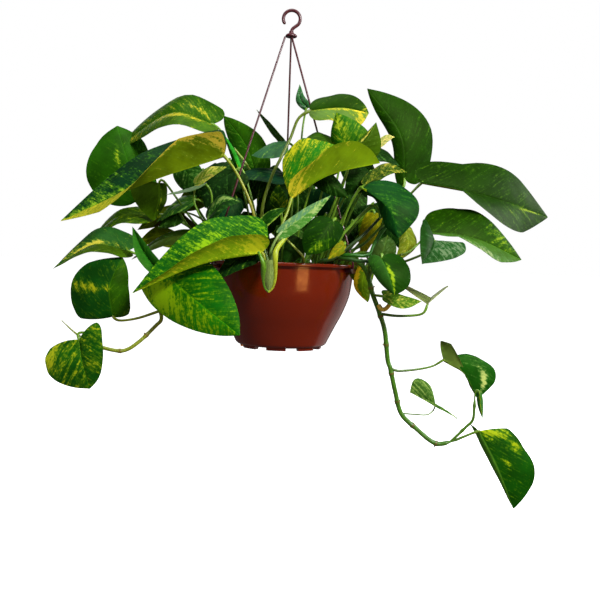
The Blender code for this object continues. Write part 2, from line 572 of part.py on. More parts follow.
def blade_rings(blade):
    """Sections of a blade as loops: over the upper face from left to right, back along the under face."""
    columns = np.linspace(-1, 1, 2 * BLADE_COLUMNS + 1)
    rows = np.linspace(0, 1, BLADE_ROWS + 1)[1:-1]
    step = 0.01
    rings = []
    for row in rows:
        upper, lower = [], []
        for across in columns:
            here = blade.point(row, across)
            ahead = blade.point(row + step, across) - blade.point(row - step, across)
            sideways = blade.point(row, min(across + 0.1, 1)) - blade.point(row, max(across - 0.1, -1))
            normal = unit(np.cross(sideways, ahead))
            upper.append(here + normal * BLADE_THICKNESS / 2)
            under = RIB_THICKNESS if across == 0 else BLADE_THICKNESS / 2
            lower.append(here - normal * under)
        margins = [(upper[0] + lower[0]) / 2, (upper[-1] + lower[-1]) / 2]
        rings.append([margins[0]] + upper[1:-1] + [margins[1]] + lower[-2:0:-1])
    return rings


def add_leaf(name, parent):
    """One leaf: its stalk and its blade lofted in a single skin, from the tip down to the foot."""
    leaf = LEAVES[name]
    blade = Blade(leaf)
    foot, direction = seat(leaf["stalk"][-1], leaf.get("host"))
    start = np.array(leaf["base"], float)
    route = [start] + leaf["stalk"][:-1] + [foot]
    path = smooth_curve(route, int(route_length(route) / 28) + 4)
    radius = leaf.get("stem", STEM_RADIUS)
    radii = np.linspace(radius * 0.8, radius, len(path))
    stalk = tube(path, radii, blade.side, -direction, unit(blade.rib[1] - blade.rib[0]))
    rings = stalk[::-1] + blade_rings(blade)
    tip = blade.point(1, 0)
    add_object(name, loft(rings, end_point=tip), "leaf_green", parent)


def add_sheath(parent):
    """The open sheath over the front stem: a tongue, curved across, wide above and pointed below."""
    path = smooth_curve(SHEATH_ROUTE, 7)
    widths = np.array(SHEATH_HALF_WIDTHS)
    rings = []
    for point, wide in zip(path, widths):
        arch = [(-1, 0.55), (-0.6, 0.15), (0, 0), (0.6, 0.15), (1, 0.55)]
        front = [point + [wide * x, wide * y, 0] for x, y in arch]
        back = [point + [wide * x * 0.96, wide * y + SHEATH_THICKNESS, 0] for x, y in reversed(arch)]
        rings.append(front + back)
    add_object("sheath_front", loft(rings), "stem_green", parent)


def main():
    for item in list(bpy.data.objects):
        bpy.data.objects.remove(item)
    parent = rim_centre()
    add_bowl(parent)
    add_soil(parent)
    add_hook(parent)
    for name, azimuth in STRAND_AZIMUTHS.items():
        add_strand(name, azimuth, parent)
    for name in VINES:
        add_vine(name, parent)
    add_sheath(parent)
    for name in LEAVES:
        add_leaf(name, parent)


main()
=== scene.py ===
"""Looks of the hanging pothos: fine leaves, vines, bowl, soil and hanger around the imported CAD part.

Shapes are worked out in millimetres from the centre of the bowl's rim, as in part.py: x to the right,
y to the back, z up. add_piece() puts them in the frame, in metres.
"""
import math
from statistics import NormalDist
from string import ascii_lowercase

import bmesh
import bpy
import numpy as np
from mathutils import Matrix, Vector, noise


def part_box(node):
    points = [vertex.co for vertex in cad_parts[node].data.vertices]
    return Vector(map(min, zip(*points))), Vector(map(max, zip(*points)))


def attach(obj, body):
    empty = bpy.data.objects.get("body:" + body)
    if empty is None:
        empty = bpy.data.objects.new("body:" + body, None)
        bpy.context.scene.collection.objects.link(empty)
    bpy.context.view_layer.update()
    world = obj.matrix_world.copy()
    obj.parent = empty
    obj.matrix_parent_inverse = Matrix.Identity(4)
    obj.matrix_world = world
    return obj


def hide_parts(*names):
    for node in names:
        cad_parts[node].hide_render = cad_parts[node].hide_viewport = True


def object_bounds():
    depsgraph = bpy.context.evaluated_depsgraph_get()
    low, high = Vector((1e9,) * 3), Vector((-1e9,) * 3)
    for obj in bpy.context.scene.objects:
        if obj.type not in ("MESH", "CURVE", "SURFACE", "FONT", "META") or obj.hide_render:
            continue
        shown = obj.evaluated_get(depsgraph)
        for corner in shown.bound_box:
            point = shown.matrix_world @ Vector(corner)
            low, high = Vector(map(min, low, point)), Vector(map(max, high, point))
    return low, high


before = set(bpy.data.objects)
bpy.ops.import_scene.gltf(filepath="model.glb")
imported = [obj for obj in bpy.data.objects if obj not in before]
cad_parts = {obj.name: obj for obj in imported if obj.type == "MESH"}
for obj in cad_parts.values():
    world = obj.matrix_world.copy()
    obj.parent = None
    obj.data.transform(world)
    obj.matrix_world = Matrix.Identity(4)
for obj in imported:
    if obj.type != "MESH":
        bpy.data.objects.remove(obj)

CAD_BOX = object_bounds()
MM = 0.001
RIM_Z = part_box("bowl")[1][2]                          # height of the bowl's rim, in the frame
RIM_RADIUS = (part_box("bowl")[1][0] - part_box("bowl")[0][0]) / 2 / MM
SOIL = (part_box("soil")[1][2] - RIM_Z) / MM            # level of the soil below the rim
HOOK_SEAT = -RIM_Z / MM                               # inner top of the hook above the rim
FOOT_BOTTOM = (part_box("bowl")[0][2] - RIM_Z) / MM
LOWEST = CAD_BOX[0][2]

# Colours as they look in plain light: red, green, blue, 0 to 255.
DEEP = (13, 44, 4)
DARK = (24, 70, 4)
TEAL = (8, 56, 26)
GREEN = (38, 92, 4)
PLAIN = (34, 80, 2)
OLIVE = (104, 126, 10)
KHAKI = (62, 90, 4)
BROWN = (60, 52, 16)
GREY = (70, 112, 66)
YELLOW = (206, 186, 36)
GOLD = (178, 186, 24)
CREAM = (206, 194, 112)
PALE = (150, 180, 90)

# What a leaf is like unless its plan says otherwise.
USUAL_LEAF = dict(full=0.45, stem=1.9, host=None, top=DARK, under=OLIVE, marks=PALE, cover=0.08,
                  top_patches=[], under_patches=[], stalk_tone=(104, 146, 26), foot_tone=(58, 98, 12))


def grow(rib, left, right, stalk, **more):
    """The plan of one leaf.

    rib: base, middle and tip of the midrib
    left, right: the widest reach of each half from the midrib
    stalk: places from near the base down to the foot
    left_tip, right_tip: the reach nearer the tip, where the leaf twists or folds
    lobe: how far the lobes reach back behind the base, 0 to 1; without it the stalk's direction decides
    full: share of the fuller outline
    stem, host: radius of the stalk, and the vine it grows from (None is the soil)
    top, under: colours of the two faces
    marks, under_marks: colours of their flecks
    cover, under_cover: share of a face that the flecks take up
    top_patches, under_patches: gather flecks or, below zero, clear them: (share of the length, place
        across from -1 to 1, radius along, radius across, strength)
    stalk_tone, foot_tone: colours of the stalk below the blade and at its foot
    left_look, right_look: what is different on that half
    """
    return {**USUAL_LEAF, "rib": rib, "left": left, "right": right, "stalk": stalk, **more}


# The leaves that the CAD part has too.
LEAVES = {
    "leaf_left_top": grow(
        [(-103, 28, 186), (-162, 34, 200), (-246, 104, 160)], (2, -34, -22), (12, 28, 30),
        [(-88, 25, 172), (-67, 25, 128), (-48, 27, 52), (-40, 21, SOIL)], left_tip=(6, -28, -19),
        right_tip=(-2, 26, 21), lobe=0.5, full=1.0,
        top=(34, 80, 2), under=GREY, marks=(180, 172, 40), cover=0.12,
        top_patches=[(0.3, -0.3, 0.26, 0.2, 0.16), (0.16, 0.35, 0.1, 0.1, 0.14),
                     (0.5, 0.4, 0.3, 0.3, 0.03), (0.85, -0.5, 0.14, 0.5, 0.14)],
        left_look=dict(top=(58, 96, 20))),
    "leaf_left_back": grow(
        [(-203, 58, 85), (-226, 65, 138), (-247, 92, 189)], (-67, 10, -8), (24, 22, 8),
        [(-179, 46, 52), (-146, 39, 27), (-104, 36, 17), (-60, 35, SOIL)], left_tip=(-58, 10, -6),
        right_tip=(34, 20, 12), full=1.1,
        top=(32, 84, 4), marks=(150, 174, 30), cover=0.03,
        top_patches=[(0.5, -0.25, 0.2, 0.08, 0.2), (0.3, 0.3, 0.12, 0.08, 0.08)]),
    "leaf_left_long": grow(
        [(-79, -70, 131), (-170, -85, 94), (-276, -90, 41)], (-5, -28, 32), (-5, 28, 42),
        [(-59, -72, 104), (-38, -75, 54), (-30, -62, SOIL)], left_tip=(0, -38, -17),
        right_tip=(0, 25, 52), lobe=0.2, stem=2.6,
        top=(5, 46, 20), marks=(140, 178, 40), cover=0.16,
        top_patches=[(0.2, 0.5, 0.3, 0.9, -0.12), (0.6, 0.1, 0.5, 0.12, 0.08),
                     (0.85, 0.3, 0.16, 0.4, 0.05)], stalk_tone=(138, 156, 22), foot_tone=(120, 96, 30),
        left_look=dict(top=(184, 178, 40), marks=(90, 136, 20), cover=0.24, under=(96, 120, 6),
                       under_cover=0.08, under_marks=(212, 192, 60),
                       under_patches=[(0.04, -0.75, 0.1, 0.2, 0.2), (0.14, -0.95, 0.16, 0.1, 0.14),
                                      (0.4, -1.0, 0.6, 0.08, 0.2)])),
    "leaf_back_upright": grow(
        [(-44, 80, 128), (-62, 83, 170), (-93, 86, 208)], (-20, 14, -8), (25, -10, 10),
        [(-39, 75, 71), (-35, 59, SOIL)], full=0.9,
        top=(52, 104, 8), marks=(92, 146, 34), cover=0.3, left_look=dict(top=(38, 92, 6))),
    "leaf_back_narrow": grow(
        [(-4, 50, 164), (-27, 50, 190), (-45, 50, 212)], (-2, 16, -2), (2, -16, 3),
        [(0, 46, 120), (-5, 40, SOIL)],
        top=(40, 88, 14), marks=(170, 172, 60), cover=0.15),
    "leaf_back_dark": grow(
        [(-4, 18, 120), (-40, 18, 124), (-75, 13, 113)], (0, -28, -18), (0, 30, 6),
        [(16, 20, 97), (14, 23, SOIL)],
        top=(10, 46, 30), cover=0.05, left_look=dict(marks=(90, 130, 60), cover=0.12)),
    "leaf_left_dark": grow(
        [(-68, 1, 122), (-93, -1, 102), (-108, -1, 69)], (22, -3, -16), (-22, 5, 12),
        [(-57, 2, 118), (-37, 1.5, 51), (-26, 0, SOIL)],
        top=(14, 44, 12), cover=0.05),
    "leaf_left_marbled": grow(
        [(-98, -60, 52), (-79, -60, 74), (-56, -65, 75)], (-4, 20, 13), (4, -20, -12),
        [(-92, -56, 28), (-52, -42, SOIL)],
        top=(16, 52, 12), marks=(140, 172, 84), cover=0.12, top_patches=[(0.6, -0.4, 0.3, 0.3, 0.18)]),
    "leaf_left_under": grow(
        [(-168, -16, 99), (-167, -21, 75), (-174, -16, 48)], (-39, 8, 5), (10, 8, 0),
        [(-160, -14, 100), (-122, -10, 51), (-89, -2, 20), (-48, 6, SOIL)],
        top=KHAKI, under=(56, 88, 4), under_marks=(156, 162, 34), under_cover=0.04,
        under_patches=[(0.5, 0.35, 0.4, 0.1, 0.16)]),
    "leaf_left_mottled": grow(
        [(-182, 10, 58), (-225, 10, 54), (-270, 20, 14)], (0, -30, -14), (-5, 35, 12),
        [(-150, 12, 56), (-105, 14, 24), (-58, 14, SOIL)], full=1.0,
        top=(40, 70, 2), marks=(134, 150, 16), cover=0.24),
    "leaf_left_low": grow(
        [(-200, -50, 8), (-242, -55, 14), (-292, -60, -18)], (0, -28, -10), (0, 30, 24),
        [(-170, -56, -2), (-152, -66, -8), (-139, -73, -8)], host='vine_left',
        top=(64, 98, 6), marks=(200, 190, 62), cover=0.07,
        top_patches=[(0.5, 0.1, 0.32, 0.12, 0.24), (0.75, 0.5, 0.2, 0.3, 0.14)],
        right_look=dict(top=(30, 80, 24), cover=0.05)),
    "leaf_left_furled": grow(
        [(-158, -72, -15), (-177, -74, 10), (-190, -77, 38)], (-9, -10, -5), (9, -9, 5),
        [(-150, -74, -22), (-145, -77, -22)], host='vine_left',
        top=(44, 116, 26), under=(50, 110, 24), marks=(130, 180, 60), cover=0.1),
    "leaf_left_shade": grow(
        [(-122, -22, 34), (-162, -24, 24), (-200, -24, -3)], (0, -22, -12), (0, 18, 8),
        [(-101, -20, 24), (-66, -16, SOIL)],
        top=(24, 42, 3), cover=0.03, left_look=dict(top=(52, 70, 14))),
    "leaf_left_brown": grow(
        [(-126, 24, 42), (-154, 26, 53), (-181, 26, 42)], (0, -14, 12), (0, 20, 8),
        [(-105, 24, 27), (-58, 24, SOIL)],
        top=BROWN, under=BROWN, cover=0.05),
    "leaf_front_long": grow(
        [(-26, -130, 11), (-96, -145, -5), (-175, -150, -42)], (0, -18, 24), (-6, 30, 50),
        [(-23, -131, 5), (-20.5, -129, -8), (-19, -126, -18)], left_tip=(0, -20, 14),
        right_tip=(-4, 30, 56), lobe=0.6, stem=2.2, host='stem_front',
        top=(6, 76, 10), marks=(136, 182, 16), cover=0.27, top_patches=[(0.45, 0.3, 0.12, 0.25, 0.12)],
        stalk_tone=(150, 160, 30), foot_tone=(110, 136, 30),
        left_look=dict(under=(136, 168, 16), under_marks=(186, 196, 30), under_cover=0.34,
                       under_patches=[(0.03, -0.5, 0.07, 0.6, 0.14)])),
    "leaf_front_lime": grow(
        [(-151, -110, -13), (-101, -140, -49), (-48, -150, -87)], (30, 10, 33), (-26, 10, -30),
        [(-150, -105, -8), (-142, -94, -4), (-134, -84, -5)], full=1.0, host='vine_left',
        top=(22, 108, 8), marks=(130, 172, 10), cover=0.3,
        top_patches=[(0.22, 0.65, 0.24, 0.4, 0.18), (0.0, -0.5, 0.16, 0.5, 0.08)],
        left_look=dict(top=(12, 92, 8), cover=0.2)),
    "leaf_front_shade": grow(
        [(-30, -108, 12), (-58, -112, -1), (-84, -114, -25)], (0, -15, -14), (0, 4, 22),
        [(-26, -103, 14), (-26, -92, 10), (-24, -80, SOIL)],
        top=(14, 46, 12), marks=(120, 150, 40)),
    "leaf_centre_gold": grow(
        [(7, -100, 79), (52, -102, 109), (115, -90, 127)], (-15, 25, 58), (-2, -15, 24),
        [(3, -104, 63), (-3, -112, 45), (-8, -126, 14), (-10, -130, -4), (-14, -129, -24)],
        left_tip=(-5, 15, 30), right_tip=(0, -15, 38), lobe=0.35, full=1.4, stem=2.2, host='stem_front',
        top=(20, 100, 10), marks=(186, 184, 26), cover=0.3,
        top_patches=[(0.1, -0.95, 0.26, 0.2, 0.07), (0.3, -0.2, 0.3, 0.3, -0.06)],
        stalk_tone=(140, 156, 30),
        right_look=dict(under=(104, 132, 8), under_marks=(196, 184, 40), under_cover=0.12,
                        under_patches=[(0.05, 0.4, 0.16, 0.8, 0.16), (0.3, 0.95, 0.4, 0.12, 0.1)])),
    "leaf_centre_blue": grow(
        [(-3, -133, 36), (24, -130, 57), (54, -122, 82)], (-3, 6, 8), (5, -8, -9),
        [(-10, -136, 26), (-16, -135, 10), (-15, -125, -6)], host='stem_front',
        top=(88, 130, 96), marks=(150, 176, 100), cover=0.36, top_patches=[(0.65, 0.3, 0.06, 0.3, 0.16)],
        stalk_tone=(140, 168, 90), right_look=dict(top=(60, 116, 36))),
    "leaf_centre_small": grow(
        [(-30, -90, 45), (-14, -92, 59), (3, -92, 68)], (-4, 5, 6), (4, -5, -6),
        [(-30, -86, 32), (-17, -71, SOIL)],
        top=(14, 58, 6), marks=(146, 176, 60), cover=0.06,
        top_patches=[(0.5, 1.0, 0.6, 0.22, 0.2), (0.5, -1.0, 0.6, 0.22, 0.2)]),
    "leaf_centre_heart": grow(
        [(59, -110, 53), (43, -118, 30), (27, -118, 10)], (16, 8, -12), (-23, 8, 6),
        [(62, -100, 54), (54, -78, 22), (42, -58, SOIL)], full=0.8,
        top=(16, 56, 4), marks=(146, 176, 26), cover=0.03,
        top_patches=[(0.68, -0.4, 0.3, 0.5, 0.15), (0.8, 0.2, 0.14, 0.3, 0.1)]),
    "leaf_right_blue": grow(
        [(95, -90, 95), (126, -105, 70), (139, -110, 34)], (36, 10, 14), (2, 22, 2),
        [(90, -84, 94), (76, -72, 62), (54, -60, SOIL)], left_tip=(48, 10, 8), right_tip=(-14, 18, -10),
        top=(9, 60, 20), marks=(84, 140, 40), cover=0.1, top_patches=[(0.5, -0.1, 0.2, 0.15, 0.1)]),
    "leaf_right_shade": grow(
        [(109, -32, 122), (93, -41, 108), (76, -40, 90)], (14, 5, -12), (-14, 5, 12),
        [(109, -26, 119), (83, -18, 60), (52, -10, SOIL)],
        top=DEEP, cover=0.04),
    "leaf_top_centre": grow(
        [(28, -34, 198), (68, -38, 202), (104, -38, 197)], (8, 8, 19), (8, -12, -16),
        [(13, -34, 187), (3, -36, 160), (-9, -44, 132), (-20, -48, 106), (-30, -50, 60),
         (-24, -44, SOIL)], left_tip=(9, 8, 22), right_tip=(4, -10, -34), lobe=0.6, full=1.2, stem=2.5,
        top=(27, 62, 2), under=GREY, marks=(200, 186, 46), cover=0.02,
        top_patches=[(0.95, -0.6, 0.09, 0.6, 0.14)], stalk_tone=(92, 112, 12), foot_tone=(84, 100, 14),
        right_look=dict(top=(84, 116, 46), cover=0.12,
                        top_patches=[(0.5, 0.08, 0.6, 0.1, 0.14), (0.86, 0.4, 0.13, 0.7, 0.14),
                                     (0.5, 1.0, 0.5, 0.16, 0.16)])),
    "leaf_top_small": grow(
        [(26, 34, 214), (15, 35, 227), (14, 40, 247)], (-6, 5, -3), (6, -5, 3),
        [(23, 35, 208), (19, 36, 166), (19, 38, 62), (12, 36, SOIL)],
        top=(62, 128, 66), marks=(150, 168, 150), cover=0.25),
    "leaf_top_olive": grow(
        [(56, -45, 159), (35, -47, 163), (13, -45, 150)], (0, -16, -13), (0, 18, 8),
        [(58, -40, 147), (40, -30, 60), (24, -26, SOIL)],
        top=(44, 78, 6), cover=0.03),
    "leaf_top_mottled": grow(
        [(79, -60, 135), (67, -66, 161), (60, -66, 191)], (-14, 8, 0), (34, 4, 14),
        [(76, -56, 116), (50, -42, 40), (38, -34, SOIL)],
        top=(24, 88, 6), marks=(150, 170, 30), cover=0.26, top_patches=[(0.75, 0.0, 0.16, 0.5, 0.1)]),
    "leaf_top_under": grow(
        [(81, -76, 137), (98, -78, 156), (110, -74, 179)], (22, 8, -10), (-5, 8, 5),
        [(78, -72, 122), (58, -58, 50), (42, -46, SOIL)],
        top=KHAKI, under=(56, 88, 4), under_marks=(192, 182, 70), under_cover=0.03,
        under_patches=[(0.6, 0.65, 0.4, 0.2, 0.26)]),
    "leaf_right_inner": grow(
        [(111, -6, 151), (132, -6, 148), (151, -8, 134)], (0, 16, 10), (0, -12, -12),
        [(98, -2.5, 136), (63, 4.5, 51), (40, 4, SOIL)],
        top=(18, 48, 12), cover=0.05),
    "leaf_right_striped": grow(
        [(100, -60, 102), (129, -60, 121), (153, -62, 120)], (0, 12, 14), (0, -14, -8),
        [(90, -54, 90), (64, -44, 35), (50, -38, SOIL)],
        top=(24, 54, 8), marks=(176, 164, 56), cover=0.34),
    "leaf_right_top": grow(
        [(164, 32, 120), (156, 32, 182), (108, 44, 246)], (-14, 8, 2), (40, 10, 20),
        [(161, 30, 107), (139, 32, 71), (104, 30, 29), (64, 22, SOIL)], left_tip=(-16, 8, -6),
        right_tip=(40, 10, 26), full=0.8, stem=2.2,
        top=(22, 58, 0), under=PLAIN, marks=(84, 122, 20)),
    "leaf_right_long": grow(
        [(175, -46, 109), (267, -21, 97), (364, 24, 75)], (12, 25, 36), (0, -38, -5),
        [(160, -48, 93), (136, -46, 64), (106, -37, 30), (84, -34, 14), (67, -33, SOIL)],
        left_tip=(8, 25, 62), right_tip=(8, -15, -54), lobe=0.7, stem=2.2,
        top=(18, 49, 0), marks=(120, 140, 28), cover=0.06,
        top_patches=[(0.84, 0.08, 0.14, 0.1, 0.2), (0.7, 0.4, 0.1, 0.3, 0.06)]),
    "leaf_right_low": grow(
        [(184, -62, 44), (243, -62, 39), (307, -54, 14)], (8, 22, 35), (0, -28, -3),
        [(157, -66, 18), (130, -68, 14), (98, -60, 16), (78, -50, 6), (67, -46, SOIL)],
        left_tip=(2, 22, 42), right_tip=(0, -25, -24), lobe=0.7, full=0.8,
        top=(24, 60, 0), marks=(112, 142, 20), top_patches=[(0.8, -0.6, 0.16, 0.5, 0.12)],
        right_look=dict(top=(54, 92, 20), marks=(136, 152, 100), cover=0.08,
                        top_patches=[(0.5, 0.9, 0.4, 0.2, 0.14)])),
    "leaf_right_small": grow(
        [(182, -116, 33), (174, -134, 18), (162, -150, 4)], (42, 8, -2), (-12, 10, 30),
        [(176, -106, 20), (156, -98, 9), (124, -90, -3), (108, -83, -9)], full=1.0, host='vine_right',
        top=(18, 62, 14), marks=(96, 122, 84), cover=0.36, right_look=dict(top=(14, 54, 8), cover=0.06)),
    "leaf_right_heart": grow(
        [(117, -125, 10), (125, -138, -11), (133, -140, -34)], (27, 8, 4), (-17, 12, 0),
        [(118, -120, 14), (112, -100, 4), (110, -84, -16)], left_tip=(30, 8, 0), full=1.2,
        host='vine_right',
        top=(16, 56, 3), marks=(146, 178, 24), cover=0.01,
        top_patches=[(0.3, -0.08, 0.16, 0.07, 0.2), (0.62, -0.16, 0.3, 0.13, 0.27),
                     (0.95, -0.1, 0.12, 0.3, 0.2)],
        right_look=dict(top=(40, 84, 24), marks=(84, 136, 40), cover=0.14, top_patches=[])),
    "leaf_right_lime": grow(
        [(126, -100, -38), (149, -105, -44), (172, -100, -42)], (0, 12, 10), (0, -12, -8),
        [(120, -94, -37), (116, -85, -36)], host='vine_right',
        top=(62, 104, 14), marks=(176, 180, 70), cover=0.35),
    "leaf_shoot_small": grow(
        [(181, -90, -46), (187, -68, -44), (193, -45, -39)], (-34, 12, 22), (26, 10, 22),
        [(177, -91, -56), (168, -88, -60), (145, -83, -62), (126, -80, -60)], full=0.9, host='vine_right',
        top=(24, 66, 10), marks=(150, 158, 96), cover=0.06,
        left_look=dict(top=(120, 130, 70), cover=0.3, top_patches=[(0.5, -1.0, 1.0, 0.3, -0.3)]),
        right_look=dict(top=(150, 160, 110))),
    "leaf_right_yellow": grow(
        [(118, -25, 69), (110, -25, 38), (103, -24, 9)], (13, 4, 0), (-13, 4, 0),
        [(112, -18, 72), (84, -12, 40), (56, -10, SOIL)],
        top=(140, 128, 8), marks=(186, 170, 26), cover=0.3),
    "leaf_right_olive": grow(
        [(156, -40, 52), (161, -44, 28), (145, -42, 4)], (12, 5, -2), (-12, 5, 2),
        [(152, -30, 54), (130, -2, 52), (84, 8, 20), (58, 7, SOIL)],
        top=(124, 132, 24), marks=(166, 168, 66), cover=0.36),
    "leaf_right_gold": grow(
        [(107, -48, -2), (103, -50, -28), (111, -48, -48)], (13, 6, 0), (-12, 3, 0),
        [(110, -42, 9), (97, -38, 12), (72, -31, SOIL)], full=0.9,
        top=(84, 116, 8), under=YELLOW, marks=(202, 168, 22), cover=0.1,
        top_patches=[(0.5, 1.0, 0.9, 0.4, 0.34)]),
    "leaf_vine_middle": grow(
        [(210, -60, -118), (238, -62, -136), (256, -62, -167)], (36, 6, 10), (-8, -12, 30),
        [(197, -56, -127), (175, -64, -131), (151, -68, -133), (143, -68, -129)], left_tip=(50, 6, 6),
        right_tip=(0, 8, 0), lobe=0.3, host='vine_right',
        top=(18, 80, 8), under=GREY, marks=(190, 204, 110), cover=0.04,
        top_patches=[(0.66, -0.6, 0.3, 0.12, 0.26)],
        right_look=dict(under=(92, 116, 44), top=(54, 100, 24))),
    "leaf_vine_small": grow(
        [(204, -50, -178), (187, -50, -170), (170, -50, -163)], (32, -10, -18), (-6, 6, 26),
        [(202, -48, -186), (193, -54, -191), (176, -60, -190), (161, -62, -187)], right_tip=(-10, 6, 30),
        lobe=0.3, stem=1.1, host='vine_right',
        top=(54, 92, 28), under=GREY, marks=(134, 162, 76), cover=0.36),
    "leaf_vine_new": grow(
        [(256, -71, -160), (258, -72, -176), (261, -72, -191)], (5, 5, 0), (-3, 5, 0),
        [(255, -71, -156), (252, -71, -154), (250, -71, -158)], stem=1.2, host='shoot_right',
        top=(48, 104, 36)),
    "leaf_vine_end": grow(
        [(258, -70, -207), (283, -74, -254), (307, -70, -307)], (46, 8, 4), (-10, 14, 8),
        [(248, -69, -211), (232, -66, -219)], left_tip=(56, 8, 8), right_tip=(-3, 14, -2), full=0.8,
        host='vine_right',
        top=(14, 74, 5), marks=(160, 180, 18), cover=0.05,
        top_patches=[(0.03, -0.5, 0.09, 0.5, 0.22), (0.24, -0.75, 0.08, 0.16, 0.2),
                     (0.45, -0.3, 0.1, 0.1, 0.12)], right_look=dict(top=(72, 126, 34))),
    "leaf_low_left_upper": grow(
        [(-213, -70, -76), (-216, -78, -38), (-203, -70, 0)], (-50, 8, -4), (22, 12, 4),
        [(-203, -75, -80), (-180, -78, -76), (-159, -80, -67)], left_tip=(-54, 8, 14),
        right_tip=(24, 12, 0), full=0.8, host='vine_left',
        top=(16, 74, 14), marks=(176, 182, 26), cover=0.05, top_patches=[(0.45, -0.5, 0.06, 0.6, 0.18)],
        stalk_tone=(128, 142, 24), foot_tone=(128, 142, 24), right_look=dict(top=(40, 88, 6))),
    "leaf_low_left_end": grow(
        [(-245, -110, -102), (-238, -118, -130), (-229, -115, -161)], (26, -5, 26), (-44, 8, -16),
        [(-247, -106, -95), (-238, -106, -94), (-228, -107, -100), (-222, -105, -108)],
        left_tip=(26, -2, 10), lobe=0.6, full=1.2, host='vine_left',
        top=(18, 80, 12), marks=(176, 186, 28), cover=0.2, top_patches=[(0.2, 0.85, 0.3, 0.16, 0.16)]),
}

